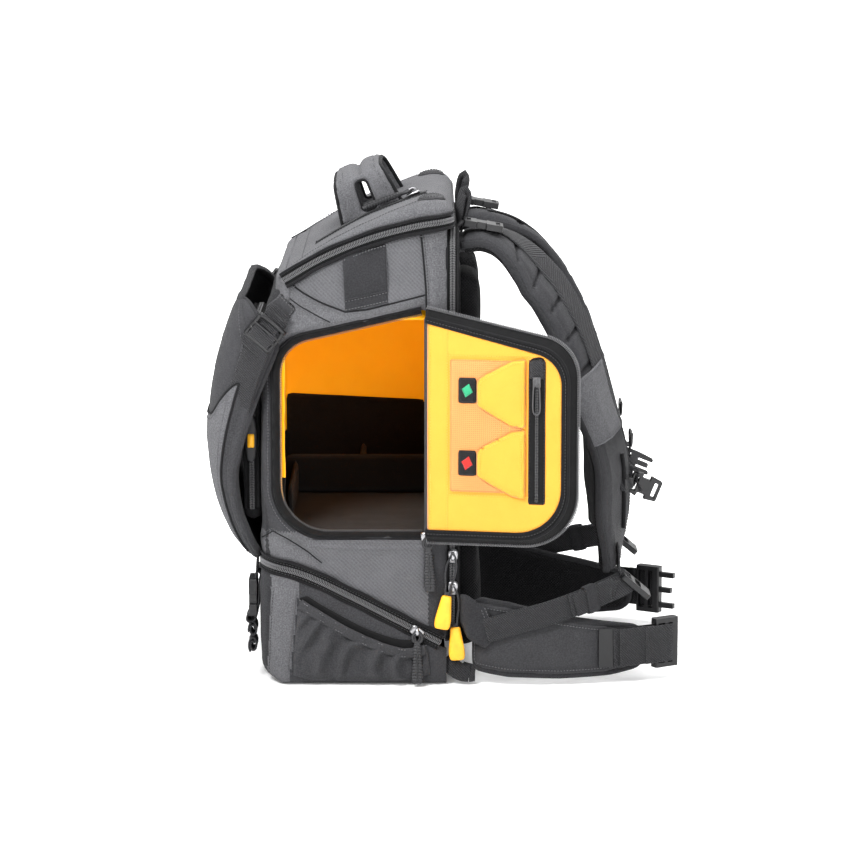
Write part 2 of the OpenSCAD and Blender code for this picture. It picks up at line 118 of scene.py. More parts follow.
def lattice_value(i, j, k, seed):
    mixed = (i * 374761393 + j * 668265263 + k * 2147483647 + seed * 974634777) & 0xFFFFFFFF
    mixed = ((mixed ^ (mixed >> 13)) * 1274126177) & 0xFFFFFFFF
    mixed = (mixed ^ (mixed >> 16)) & 0xFFFFFFFF
    return mixed.astype(float) / 0xFFFFFFFF * 2 - 1


def value_noise(pts, seed):
    cell = np.floor(pts).astype(np.int64)
    part = pts - cell
    part = part * part * part * (part * (part * 6 - 15) + 10)
    total = 0
    for corner in np.ndindex(2, 2, 2):
        weight = np.prod(np.where(corner, part, 1 - part), axis=1)
        total = total + weight * lattice_value(*(cell + corner).T, seed)
    return total


def noise(pts, size, octaves, seed):
    """sum of octaves of value noise; size is the longest wave"""
    pts = np.asarray(pts, float)
    if pts.shape[1] == 2:
        pts = np.c_[pts, np.zeros(len(pts)) + 0.37]
    scale, weight, total = 1.0 / size, 1.0, 0
    for octave in range(octaves):
        total = total + weight * value_noise(pts * scale + 13.7 * octave, seed + octave)
        scale *= 2.03
        weight *= 0.5
    return total


def line_distance(pts, line, closed=False):
    """distance from points to a polyline"""
    pts, line = np.asarray(pts, float), np.asarray(line, float)
    if closed:
        line = np.vstack([line, line[:1]])
    best = np.full(len(pts), 1e9)
    for start, end in zip(line[:-1], line[1:]):
        run = end - start
        square = run @ run
        if square < 1e-12:
            continue
        part = np.clip(((pts - start) @ run) / square, 0, 1)
        best = np.minimum(best, np.linalg.norm(pts - start - part[:, None] * run, axis=1))
    return best


def groove(pts, line, width, depth):
    return -depth * bell(line_distance(pts, line), width)


def inside(pts, loop):
    x, y = pts.T
    found = np.zeros(len(pts), bool)
    for (x1, y1), (x2, y2) in zip(loop, np.roll(loop, 1, axis=0)):
        if y1 != y2:
            found ^= ((y1 > y) != (y2 > y)) & (x < (x2 - x1) * (y - y1) / (y2 - y1) + x1)
    return found


def arc_length(path):
    return np.r_[0, np.cumsum(np.linalg.norm(np.diff(path, axis=0), axis=1))]


def resample(path, step, closed=False, count=None, normals=None):
    """even points along a path, and the normals there if normals are given"""
    path = np.asarray(path, float)
    if closed:
        path = np.vstack([path, path[:1]])
    length = arc_length(path)
    count = count or max(2, int(round(length[-1] / step)) + (0 if closed else 1))
    stops = np.linspace(0, length[-1], count + 1)[:-1] if closed else \
        np.linspace(0, length[-1], count)

    def pick(values):
        return np.stack([np.interp(stops, length, column) for column in values.T], 1)

    if normals is None:
        return pick(path)
    normals = np.asarray(normals, float)
    if normals.ndim == 1:
        return pick(path), normals
    if closed:
        normals = np.vstack([normals, normals[:1]])
    return pick(path), pick(normals)


def split_edges(loop, step):
    """divides each edge of a closed polygon, keeping its corners"""
    loop = np.asarray(loop, float)
    pts = []
    for start, end in zip(loop, np.roll(loop, -1, axis=0)):
        count = max(1, int(round(np.linalg.norm(end - start) / step)))
        pts += [start + (end - start) * j / count for j in range(count)]
    return np.array(pts)


def spline(knots, step=2.0, closed=False):
    """Catmull-Rom curve through the knots, resampled"""
    knots = np.asarray(knots, float)
    count = len(knots)
    pts = []
    for i in range(count if closed else count - 1):
        if closed:
            before, start, end, after = [knots[(i + j) % count] for j in (-1, 0, 1, 2)]
        else:
            start, end = knots[i], knots[i + 1]
            before = knots[i - 1] if i else 2 * start - end
            after = knots[i + 2] if i < count - 2 else 2 * end - start
        for t in np.linspace(0, 1, 13)[:-1]:
            pts.append(0.5 * ((2 * start) + (-before + end) * t
                              + (2 * before - 5 * start + 4 * end - after) * t * t
                              + (-before + 3 * start - 3 * end + after) * t ** 3))
    if not closed:
        pts.append(knots[-1])
    return resample(np.array(pts), step, closed)


def rounded(corners, radii, count=6):
    """polygon with rounded corners; radii is one radius or one per corner"""
    corners = [np.asarray(corner, float) for corner in corners]
    total = len(corners)
    if not hasattr(radii, "__len__"):
        radii = [radii] * total
    pts = []
    for i in range(total):
        corner, radius = corners[i], radii[i]
        if radius <= 0:
            pts.append(corner)
            continue
        back, ahead = corners[i - 1] - corner, corners[(i + 1) % total] - corner
        back, ahead = back / np.linalg.norm(back), ahead / np.linalg.norm(ahead)
        half = math.acos(max(-1, min(1, back @ ahead))) / 2
        reach = radius / math.tan(half)
        middle = (back + ahead) / np.linalg.norm(back + ahead)
        centre = corner + middle * radius / math.sin(half)
        first, last = corner + back * reach - centre, corner + ahead * reach - centre
        start = math.atan2(first[1], first[0])
        turn = math.atan2(last[1], last[0]) - start
        turn = (turn + PI) % (2 * PI) - PI
        for k in range(count + 1):
            angle = start + turn * k / count
            pts.append(centre + radius * vec(math.cos(angle), math.sin(angle)))
    return np.array(pts)


def box(left, right, low, high):
    return [(left, low), (right, low), (right, high), (left, high)]


# ------------------------------------------------------------------ shape helpers
def join(shapes):
    faces, start = [], 0
    for vertices, part in shapes:
        faces += [tuple(int(i) + start for i in face) for face in part]
        start += len(vertices)
    return np.vstack([vertices for vertices, _ in shapes]), faces


def pair(shape):
    """a shape of the right side and its mirror image"""
    vertices, faces = shape
    return [shape, (flip(vertices), [tuple(face)[::-1] for face in faces])]


def add_object(name, data):
    ob = bpy.data.objects.new(name, data)
    bpy.context.scene.collection.objects.link(ob)
    return ob


def smooth_shading(data):
    data.polygons.foreach_set("use_smooth", [True] * len(data.polygons))


def fix_normals(ob):
    edit = bmesh.new()
    edit.from_mesh(ob.data)
    bmesh.ops.recalc_face_normals(edit, faces=edit.faces)
    edit.to_mesh(ob.data)
    edit.free()


def mesh(name, shape, material, body, replaces=(), subdivide=0):
    """makes an object of a shape; body is the CAD body it rides on"""
    vertices, faces = join(shape) if isinstance(shape, list) else shape
    data = bpy.data.meshes.new(name)
    data.from_pydata([tuple(v) for v in np.asarray(vertices, float) * MM], [],
                     [tuple(int(i) for i in face) for face in faces])
    data.validate()
    data.update()
    smooth_shading(data)
    ob = add_object(name, data)
    data.materials.append(MATERIALS[material])
    fix_normals(ob)
    if subdivide:
        modifier = ob.modifiers.new("sub", "SUBSURF")
        modifier.levels = modifier.render_levels = subdivide
    if body:
        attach(ob, body)
    if replaces:
        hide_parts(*replaces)
    return ob


def face_values(data, name):
    values = np.zeros(len(data.polygons) * 3)
    data.polygons.foreach_get(name, values)
    return values.reshape(-1, 3)


def split_material(ob, rules):
    """each rule is (material, mask of face centres x, y, z); later rules win"""
    x, y, z = (face_values(ob.data, "center") * 1000).T
    index = np.zeros(len(x), np.int32)
    for k, (material, mask) in enumerate(rules):
        ob.data.materials.append(MATERIALS[material])
        index[mask(x, y, z)] = k + 1
    ob.data.polygons.foreach_set("material_index", index)
    ob.data.update()


def grid_faces(rows, columns, wrap_rows=False, wrap_columns=False):
    faces = []
    for i in range(rows if wrap_rows else rows - 1):
        for j in range(columns if wrap_columns else columns - 1):
            this, following = i * columns, ((i + 1) % rows) * columns
            right = (j + 1) % columns
            faces.append((this + j, this + right, following + right, following + j))
    return faces


def frames(path, normals=None, closed=False):
    """unit tangents, normals and binormals; the normals lean to the given ones"""
    path = np.asarray(path, float)
    if closed:
        tangents = unit(np.roll(path, -1, 0) - np.roll(path, 1, 0))
    else:
        tangents = unit(np.gradient(path, axis=0))
    if normals is None:
        first = np.cross(tangents[0], vec(0, 0, 1))
        if np.linalg.norm(first) < 0.1:
            first = np.cross(tangents[0], vec(0, 1, 0))
        turned = [unit(first)]
        for tangent in tangents[1:]:
            turned.append(unit(turned[-1] - tangent * (turned[-1] @ tangent)))
        turned = np.array(turned)
    else:
        wanted = np.broadcast_to(np.asarray(normals, float), path.shape)
        turned = unit(wanted - tangents * np.sum(wanted * tangents, 1)[:, None])
    return tangents, turned, np.cross(tangents, turned)


def sweep(path, profile, normals=None, closed=False):
    """profile points are (along binormal, along normal)"""
    path, profile = np.asarray(path, float), np.asarray(profile, float)
    _, normals, binormals = frames(path, normals, closed)
    vertices = (path[:, None] + binormals[:, None] * profile[None, :, :1]
                + normals[:, None] * profile[None, :, 1:]).reshape(-1, 3)
    count = len(profile)
    faces = grid_faces(len(path), count, closed, True)
    if not closed:
        faces.append(tuple(range(count))[::-1])
        faces.append(tuple(range((len(path) - 1) * count, len(path) * count)))
    return vertices, faces


def circle(radius, count):
    angles = np.arange(count) * 2 * PI / count
    return np.c_[np.cos(angles) * radius, np.sin(angles) * radius]


def tube(path, radius, count=8, closed=False):
    return sweep(path, circle(radius, count), closed=closed)


def webbing_profile(width, thickness):
    """flat section with slightly thicker edges"""
    top = np.c_[np.linspace(-width / 2, width / 2, 7), np.full(7, thickness / 2)]
    top[(0, -1), 1] = thickness * 0.32
    top[1] = -width / 2 + 0.9, thickness / 2 + 0.125
    top[-2] = width / 2 - 0.9, thickness / 2 + 0.125
    return np.vstack([top, top[::-1] * (1, -1)])


def webbing(path, normals, width, thickness):
    return sweep(path, webbing_profile(width, thickness), normals)


def ribbon(knots, step, normal, width, thickness, side=1):
    """webbing on a spline; with no normal the band keeps its width along x"""
    path = spline(knots, step)
    if normal is None:
        tangents = np.gradient(path, axis=0)
        normal = unit(np.c_[np.zeros(len(path)), -tangents[:, 2], tangents[:, 1]])
    return webbing(flip(path, side), flip(normal, side), width, thickness)


def binding_profile(half_width, flat_half, half_height):
    inner = half_height - 1
    half = [(flat_half, -half_height), (half_width, -inner), (half_width, inner),
            (flat_half, half_height)]
    return [(-flat_half, -half_height)] + half + [(-x, z) for x, z in half[:0:-1]]


def loft(rings):
    """closed shape through rings of equal point count, capped at both ends"""
    rings = np.array(rings)
    rows, count = rings.shape[:2]
    caps = [tuple(range(count)), tuple(range((rows - 1) * count, rows * count))]
    return rings.reshape(-1, 3), grid_faces(rows, count, False, True) + caps


def squircle(count, power_x, power_y):
    angles = np.linspace(0, 2 * PI, count, endpoint=False)
    x, y = np.cos(angles), np.sin(angles)
    return np.c_[np.sign(x) * abs(x) ** power_x, np.sign(y) * abs(y) ** power_y]


def level_ring(ring, half_x, half_y, z, x=0.0, y=0.0):
    return np.c_[x + half_x * ring[:, 0], y + half_y * ring[:, 1], np.full(len(ring), z)]


BLOCK_FACES = [(3, 2, 1, 0), (12, 13, 14, 15)] + grid_faces(4, 4, False, True)
# (place along the stitch, part of the full girth), then (across, up) round the section
STITCH_STATIONS = ((-0.5, 0.25), (-0.25, 1.0), (0.25, 1.0), (0.5, 0.25))
STITCH_RING = ((-1, -0.35), (1, -0.35), (0.6, 0.8), (-0.6, 0.8))


def block(centre, axes, size, bevel):
    """bevelled block: three axes as rows, full sizes, bevel as a part of the least size"""
    half_x, half_y, half_z = [length / 2 for length in size]
    cut = min(size) * bevel
    pts = []
    for z, inset in ((-half_z, cut), (cut - half_z, 0), (half_z - cut, 0), (half_z, cut)):
        for x, y in ((-1, -1), (1, -1), (1, 1), (-1, 1)):
            pts.append((x * (half_x - inset), y * (half_y - inset), z))
    return np.array(pts) @ np.asarray(axes, float) + np.asarray(centre, float), BLOCK_FACES


def stitches(path, normals, pitch=3.0, length=2.1, radius=0.42, lift=0.0, closed=False):
    path, normals = resample(path, pitch, closed, normals=normals)
    shapes = []
    for point, tangent, normal, across in zip(path, *frames(path, normals, closed)):
        shapes.append(([point + normal * lift + tangent * (place * length)
                        + across * (y * radius * girth) + normal * (z * radius * girth)
                        for place, girth in STITCH_STATIONS for y, z in STITCH_RING],
                       BLOCK_FACES))
    return join(shapes)


def teeth(path, normals, pitch, width, height, thickness, lift):
    """zipper coil: two slanted blocks per tooth"""
    path, normals = resample(path, pitch * 0.82, normals=normals)
    shapes = []
    for point, tangent, normal, across in zip(path, *frames(path, normals)):
        for shift in (-0.27, 0.27):
            slant = unit(across + tangent * (0.35 if shift > 0 else -0.35))
            shapes.append(block(point + normal * lift + across * shift * width,
                                [slant, np.cross(normal, slant), normal],
                                (width * 0.5, thickness * 0.72, height), 0.3))
    return join(shapes)


def zipper(prefix, body, path, normals, tape, coil, coil_material="coil_l", sink=0.0,
           replaces=()):
    """tape is (width, thickness), coil is (pitch, width, height, thickness, lift)"""
    mesh(prefix + "_tape", webbing(path - normals * sink, normals, *tape), "tape", body,
         replaces=replaces)
    mesh(prefix + "_coil", teeth(path, normals, *coil), coil_material, body)


# Piping and stitches are gathered per body and become objects at the end of the script.
PIPING = defaultdict(list)
STITCHING = defaultdict(list)


def pipe(body, path, radius, count=8, closed=False):
    PIPING[body].append(tube(path, radius, count, closed))


def sew(body, path, normals, dark=False, **options):
    STITCHING[body, dark].append(stitches(path, normals, **options))


def sew_pair(body, path, normals, dark=False, **options):
    sew(body, path, normals, dark, **options)
    sew(body, flip(path), flip(normals), dark, **options)


def triangulate(outline, holes, step, rim, sharp):
    """hex grid in a region: points, triangles, rim index arrays, distance to the rim"""
    rim = rim or step
    loops = [split_edges(outline, rim) if sharp else resample(outline, rim, True)]
    loops += [resample(hole, rim, True) for hole in holes]
    low, high = loops[0].min(0), loops[0].max(0)
    grid = []
    for row, y in enumerate(np.arange(low[1], high[1] + step, step * 0.866)):
        x = np.arange(low[0] - step, high[0] + step, step) + (step / 2 if row % 2 else 0)
        grid.append(np.c_[x, np.full(len(x), y)])
    grid = np.vstack(grid)
    grid = grid[inside(grid, loops[0])]
    for loop in loops[1:]:
        grid = grid[~inside(grid, loop)]
    for loop in loops:
        grid = grid[line_distance(grid, loop, True) > 0.55 * min(step, rim * 1.2)]
    edges, rims, start = [], [], 0
    for loop in loops:
        count = len(loop)
        rims.append(np.arange(start, start + count))
        edges += [(start + i, start + (i + 1) % count) for i in range(count)]
        start += count
    result = delaunay_2d_cdt([Vector(p) for p in np.vstack(loops + [grid])], edges, [], 0, 1e-5)
    pts = np.array([tuple(v) for v in result[0]])
    triangles = np.array([face for face in result[2] if len(face) == 3], int)
    centres = pts[triangles].mean(1)
    kept = inside(centres, loops[0])
    for loop in loops[1:]:
        kept &= ~inside(centres, loop)
    new_index = {old: new for new, sources in enumerate(result[3]) for old in sources}
    rims = [np.array([new_index.get(i, i) for i in ring]) for ring in rims]
    edge = np.min([line_distance(pts, loop, True) for loop in loops], axis=0)
    for ring in rims:
        edge[ring] = 0
    return pts, triangles[kept], rims, edge


def cushion(outline, step, front, back, round_over, place, relief=None, holes=(), sharp=False,
            rim=None, power=2.0, back_relief=None):
    """padded panel whose two faces meet at the rim, rounded over a distance.

    place(pts, height) gives 3D points; relief(pts, edge distance) is added to the height.
    """
    pts, triangles, rims, edge = triangulate(outline, holes, step, rim, sharp)
    part = np.clip(edge / round_over, 0, 1)
    swell = (1 - (1 - part) ** power) ** (1 / power)
    top, bottom = front * swell, -back * swell
    if relief is not None:
        top = top + relief(pts, edge) * np.minimum(1, part * 1.2)
    if back_relief is not None:
        bottom = bottom + back_relief(pts, edge) * np.minimum(1, part * 1.2)
    count = len(pts)
    on_rim = np.zeros(count, bool)
    on_rim[np.concatenate(rims)] = True
    back_index = np.where(on_rim, np.arange(count), np.arange(count) + count)
    used = np.r_[np.ones(count, bool), ~on_rim]
    remap = np.cumsum(used) - 1
    faces = [tuple(remap[f]) for f in triangles]
    faces += [tuple(remap[back_index[f]][::-1]) for f in triangles]
    return np.vstack([place(pts, top), place(pts, bottom)])[used], faces


def sheet(outline, step, place, thickness, relief, holes=(), sharp=False, rim=None):
    """sheet of even thickness; place and relief as in cushion()"""
    pts, triangles, rims, edge = triangulate(outline, holes, step, rim, sharp)
    height = relief(pts, edge)
    count = len(pts)
    faces = [tuple(f) for f in triangles] + [tuple(f[::-1] + count) for f in triangles]
    for ring in rims:
        for start, end in zip(ring, np.roll(ring, -1)):
            faces.append((end, start, start + count, end + count))
    return np.vstack([place(pts, height), place(pts, height - thickness)]), faces


def two_layers(rows, columns):
    """faces of a grid, of its copy, and of the rims along the first and last row"""
    count, last = rows * columns, (rows - 1) * columns
    faces = grid_faces(rows, columns)
    faces += [tuple(i + count for i in face[::-1]) for face in faces]
    for i in range(columns - 1):
        far = last + i
        faces += [(i, i + 1, i + 1 + count, i + count),
                  (far + 1, far, far + count, far + 1 + count)]
    return faces


def thick_grid(grid, normals, thickness):
    """(rows, columns, 3) grid thickened against its normals"""
    grid, normals = np.asarray(grid, float), np.asarray(normals, float)
    rows, columns = grid.shape[:2]
    outer = grid.reshape(-1, 3)
    faces = grid_faces(rows, columns)
    count, last = len(outer), (rows - 1) * columns
    faces += [tuple(i + count for i in face[::-1]) for face in faces]
    for j in range(columns - 1):
        faces.append((j + 1, j, j + count, j + 1 + count))
        far = last + j
        faces.append((far, far + 1, far + 1 + count, far + count))
    for i in range(rows - 1):
        near, following = i * columns, (i + 1) * columns
        faces.append((near, following, following + count, near + count))
        near, following = near + columns - 1, following + columns - 1
        faces.append((following, near, near + count, following + count))
    return np.vstack([outer, outer - normals.reshape(-1, 3) * thickness]), faces


def grid_normals(grid, probe, towards):
    """normals of a grid, turned so that the one at the probe faces a direction"""
    normals = unit(np.cross(np.gradient(grid, axis=0), np.gradient(grid, axis=1)))
    return normals * np.sign(normals[probe] @ vec(*towards))


# ------------------------------------------------------------------ materials
class Shader:
    """short calls for the nodes of one material"""

    def __init__(self, name):
        self.material = bpy.data.materials.new(name)
        self.material.use_nodes = True
        self.tree = self.material.node_tree
        self.surface = self.tree.nodes["Principled BSDF"]

    def node(self, kind):
        return self.tree.nodes.new("ShaderNode" + kind)

    def feed(self, node, key, value):
        """links an output to an input, or sets the input to a number or colour"""
        if isinstance(value, bpy.types.NodeSocket):
            self.tree.links.new(value, node.inputs[key])
        else:
            value = (*value, 1) if isinstance(value, tuple) else value
            node.inputs[key].default_value = value

    def math(self, operation, first, second=0.0, third=None, clamp=False):
        node = self.node("Math")
        node.operation = operation
        node.use_clamp = clamp
        self.feed(node, 0, first)
        self.feed(node, 1, second)
        if third is not None:
            self.feed(node, 2, third)
        return node.outputs[0]

    def excess(self, value, threshold, gain):
        above = self.math("SUBTRACT", value, threshold, clamp=True)
        return self.math("MULTIPLY", above, gain, clamp=True)

    def noise(self, vector, scale, detail, roughness=0.55, distortion=0.0):
        node = self.node("TexNoise")
        for key, value in (("Scale", scale), ("Detail", detail), ("Roughness", roughness),
                           ("Distortion", distortion), ("Vector", vector)):
            self.feed(node, key, value)
        return node.outputs[0]

    def ramp(self, factor, *stops):
        node = self.node("ValToRGB")
        for element, (position, colour) in zip(node.color_ramp.elements, stops):
            element.position = position
            element.color = (*colour, 1)
        self.feed(node, 0, factor)
        return node.outputs[0]

    def mix(self, factor, first, second):
        node = self.node("Mix")
        node.data_type = "RGBA"
        node.blend_type = "MIX"
        for key, value in ((0, factor), (6, first), (7, second)):
            self.feed(node, key, value)
        return node.outputs[2]

    def lighten_edges(self, base, threshold, gain, amount, colour):
        pointed = self.node("NewGeometry").outputs["Pointiness"]
        worn = self.excess(pointed, threshold, gain)
        return self.mix(self.math("MULTIPLY", worn, amount), base, colour)

    def bump(self, height, strength, distance, normal=None):
        node = self.node("Bump")
        for key, value in (("Strength", strength), ("Distance", distance), ("Height", height)):
            self.feed(node, key, value)
        if normal is not None:
            self.feed(node, "Normal", normal)
        return node.outputs[0]

    def finish(self, **values):
        """sets inputs of the surface; underscores in the names stand for spaces"""
        for key, value in values.items():
            self.feed(self.surface, key.replace("_", " "), value)
        return self.material

    def weave(self, kind, period):
        """weave height 0..1 on the face's main plane, and the object coordinates"""
        calc = self.math
        coords = self.node("TexCoord")
        place, facing = self.node("SeparateXYZ"), self.node("SeparateXYZ")
        self.feed(place, 0, coords.outputs["Object"])
        self.feed(facing, 0, coords.outputs["Normal"])
        size = [calc("ABSOLUTE", facing.outputs[i]) for i in range(3)]
        on_x = calc("GREATER_THAN", size[0], calc("MAXIMUM", size[1], size[2]))
        on_z = calc("MULTIPLY", calc("GREATER_THAN", size[2], calc("MAXIMUM", size[0], size[1])),
                    calc("SUBTRACT", 1.0, on_x))
        x, y, z = place.outputs
        width = calc("ADD", x, calc("MULTIPLY", on_x, calc("SUBTRACT", y, x)))
        rise = calc("ADD", z, calc("MULTIPLY", on_z, calc("SUBTRACT", y, z)))

        def wave(value):
            return calc("SINE", calc("MULTIPLY", value, 2 * PI / (period * 0.001)))

        if kind in ("twill", "dots"):
            first = wave(calc("ADD", width, rise))
            second = wave(calc("SUBTRACT", width, rise))
        else:
            first, second = wave(width), wave(rise)
        if kind == "plain":
            height = calc("MULTIPLY", first, second)
        elif kind == "grid":
            height = calc("MAXIMUM", first, second)
        elif kind == "dots":
            height = calc("MULTIPLY", calc("ADD", first, second), -0.5)
        else:
            shares = {"twill": (0.75, 0.25), "rib": (0.35, 0.65)}[kind]
            height = calc("ADD", calc("MULTIPLY", first, shares[0]),
                          calc("MULTIPLY", second, shares[1]))
        return calc("MULTIPLY_ADD", height, 0.5, 0.5), coords.outputs["Object"]


def scaled(colour, factor, add=0.0):
    return tuple(min(1, c * factor + add) for c in colour)


def cloth(name, colour, weave, period, bump, vary, rough, sheen, fleck, ridge=None, dark=0.7,
          edge=0.25, wrinkle=0.0, gaps=0.25):
    """woven cloth: period in mm, dark and vary set the blotches, gaps darkens the weave's low
    parts, a painted shade in its hollows.

    ridge is (period, height, lightness) of broad diagonal ridges.
    """
    shader = Shader(name)
    height, place = shader.weave(weave, period)
    specular = 0.3
    if max(colour) < 0.3:
        colour = tuple(c * 0.66 for c in colour)
        sheen, specular, fleck = sheen * 0.3, specular * 0.7, fleck * 1.9
        bump, gaps = min(1.0, bump * 1.7), min(0.9, gaps * 1.7)
    blotches = shader.noise(place, scale=26.0, detail=4.0, roughness=0.6)
    base = shader.ramp(blotches, (0.3, tuple(c * dark for c in colour)),
                       (0.72, scaled(colour, 1 + vary)))
    base = shader.mix(0.55, base, colour)
    threads = shader.noise(place, scale=760.0, detail=1.0, roughness=0.5)
    base = shader.mix(shader.excess(threads, threshold=0.35, gain=fleck * 4), base,
                      scaled(colour, 1.9, 0.01))
    # painted shade: the colour darkens where the weave lies low, in place of shade in its
    # hollows
    depth = shader.math("SUBTRACT", 1.0, height)
    base = shader.mix(shader.math("MULTIPLY", depth, gaps, clamp=True), base,
                      tuple(c * 0.35 for c in colour))
    if ridge:
        ridge_period, ridge_height, lightness = ridge
        raised = shader.math("POWER", shader.weave("twill", ridge_period)[0], 0.8)
        raised = shader.math("MULTIPLY", raised, ridge_height)
        height = shader.math("ADD", height, raised)
        factor = shader.math("MULTIPLY", raised, lightness / ridge_height, clamp=True)
        base = shader.mix(factor, base, scaled(colour, 1.55))
    base = shader.lighten_edges(base, threshold=0.52, gain=5.0, amount=edge,
                                colour=scaled(colour, 1.7, 0.02))
    patches = shader.noise(place, scale=60.0, detail=3.0)
    normal = None
    if wrinkle:
        folds = shader.noise(place, scale=34.0, detail=3.0, roughness=0.5, distortion=0.6)
        normal = shader.bump(folds, strength=wrinkle, distance=0.004)
    return shader.finish(
        Base_Color=base, Roughness=shader.math("MULTIPLY_ADD", patches, 0.22, rough - 0.11),
        Sheen_Weight=sheen, Sheen_Roughness=0.45, Specular_IOR_Level=specular,
        Normal=shader.bump(height, strength=bump, distance=0.0009, normal=normal))


def plastic(name, colour, rough, bump, specular, grain=1800.0, metallic=0.0, wear=0.5):
    """moulded plastic or metal: grain is the scale of the fine bumps, wear lights the edges"""
    shader = Shader(name)
    place = shader.node("TexCoord").outputs["Object"]
    base = shader.ramp(shader.noise(place, scale=90.0, detail=3.0),
                       (0.3, tuple(c * 0.85 for c in colour)), (0.7, scaled(colour, 1.12)))
    base = shader.lighten_edges(base, threshold=0.53, gain=6.0, amount=wear,
                                colour=scaled(colour, 1.8, 0.03))
    patches = shader.noise(place, scale=240.0, detail=2.0)
    return shader.finish(
        Base_Color=base, Roughness=shader.math("MULTIPLY_ADD", patches, 0.2, rough - 0.1),
        Specular_IOR_Level=specular, Metallic=metallic,
        Normal=shader.bump(shader.noise(place, scale=grain, detail=2.0), strength=bump,
                           distance=0.0003))


# key: name, colour, weave, period, bump, vary, rough, sheen, fleck, further settings
CLOTHS = {
    "charcoal": ("charcoal_weave", (0.066, 0.066, 0.071), "plain", 1.15, 0.35, 0.3, 0.86, 0.22,
                 0.16, {}),
    "charcoal_d": ("charcoal_dark_weave", (0.046, 0.046, 0.05), "plain", 1.15, 0.35, 0.3, 0.86,
                   0.2, 0.14, {}),
    "twill": ("grey_diagonal_twill", (0.140, 0.140, 0.149), "plain", 1.0, 0.3, 0.22, 0.84, 0.25,
              0.12, dict(ridge=(4.0, 1.3, 0.42))),
    "grey": ("grey_weave", (0.152, 0.152, 0.161), "plain", 1.1, 0.32, 0.22, 0.86, 0.25, 0.2, {}),
    "grey_l": ("light_grey_weave", (0.200, 0.200, 0.210), "plain", 1.1, 0.3, 0.2, 0.86, 0.25,
               0.2, {}),
    "knit": ("stretch_knit", (0.068, 0.068, 0.073), "twill", 1.3, 0.4, 0.25, 0.88, 0.25, 0.2,
             {}),
    "piping": ("black_piping", (0.016, 0.016, 0.018), "twill", 1.2, 0.35, 0.2, 0.7, 0.15, 0.06,
               {}),
    "tape": ("zipper_tape", (0.013, 0.013, 0.014), "twill", 0.9, 0.3, 0.2, 0.74, 0.15, 0.05, {}),
    "binding": ("binding_tape", (0.05, 0.05, 0.054), "rib", 0.9, 0.45, 0.25, 0.8, 0.2, 0.15, {}),
    "webbing": ("ribbed_webbing", (0.055, 0.055, 0.059), "twill", 2.5, 1.0, 0.25, 0.66, 0.2,
                0.2, dict(gaps=0.5)),
    "web_g": ("grey_webbing", (0.07, 0.07, 0.075), "twill", 2.0, 0.6, 0.25, 0.74, 0.2, 0.16,
              dict(gaps=0.45)),
    "spacer": ("spacer_mesh", (0.022, 0.022, 0.024), "dots", 3.0, 0.9, 0.2, 0.9, 0.15, 0.12,
               dict(gaps=0.85, dark=0.8)),
    "smooth": ("smooth_pad_cloth", (0.06, 0.06, 0.064), "plain", 0.8, 0.2, 0.25, 0.78, 0.3,
               0.14, dict(wrinkle=0.25)),
    "stitch": ("light_stitch", (0.15, 0.15, 0.157), "rib", 0.5, 0.2, 0.2, 0.8, 0.2, 0.1, {}),
    "stitch_d": ("dark_stitch", (0.07, 0.07, 0.074), "rib", 0.5, 0.2, 0.2, 0.8, 0.2, 0.1, {}),
    "yellow": ("yellow_lining", (0.68, 0.292, 0.036), "plain", 0.9, 0.2, 0.05, 0.62, 0.2, 0.02,
               dict(dark=0.9, edge=0.1, wrinkle=0.35, gaps=0.06)),
    "orange": ("orange_lining", (0.98, 0.47, 0.012), "plain", 0.9, 0.2, 0.05, 0.62, 0.2, 0.02,
               dict(dark=0.88, edge=0.1, wrinkle=0.3, gaps=0.06)),
    "ymesh": ("tan_mesh", (0.58, 0.25, 0.085), "grid", 1.9, 0.5, 0.1, 0.75, 0.15, 0.04,
              dict(dark=0.85, gaps=0.55)),
    "ystitch": ("yellow_stitch", (0.62, 0.34, 0.05), "rib", 0.5, 0.2, 0.1, 0.7, 0.2, 0.05, {}),
    "loop": ("loop_lining", (0.018, 0.016, 0.015), "plain", 1.6, 0.8, 0.3, 0.95, 0.35, 0.1, {}),
    "tag": ("dark_tag", (0.03, 0.03, 0.032), "twill", 0.8, 0.4, 0.2, 0.8, 0.2, 0.1, {}),
    "green": ("green_mark", (0.03, 0.30, 0.15), "twill", 0.7, 0.3, 0.1, 0.7, 0.2, 0.05, {}),
    "red": ("red_mark", (0.50, 0.025, 0.02), "twill", 0.7, 0.3, 0.1, 0.7, 0.2, 0.05, {}),
    "cord": ("cord_sheath", (0.028, 0.028, 0.03), "twill", 1.1, 0.6, 0.25, 0.7, 0.2, 0.2, {}),
    "cord_g": ("grey_cord_sheath", (0.09, 0.09, 0.095), "twill", 1.1, 0.6, 0.25, 0.7, 0.2, 0.2,
               {}),
    "board": ("back_cloth", (0.04, 0.04, 0.043), "plain", 1.1, 0.3, 0.25, 0.86, 0.2, 0.12, {}),
}
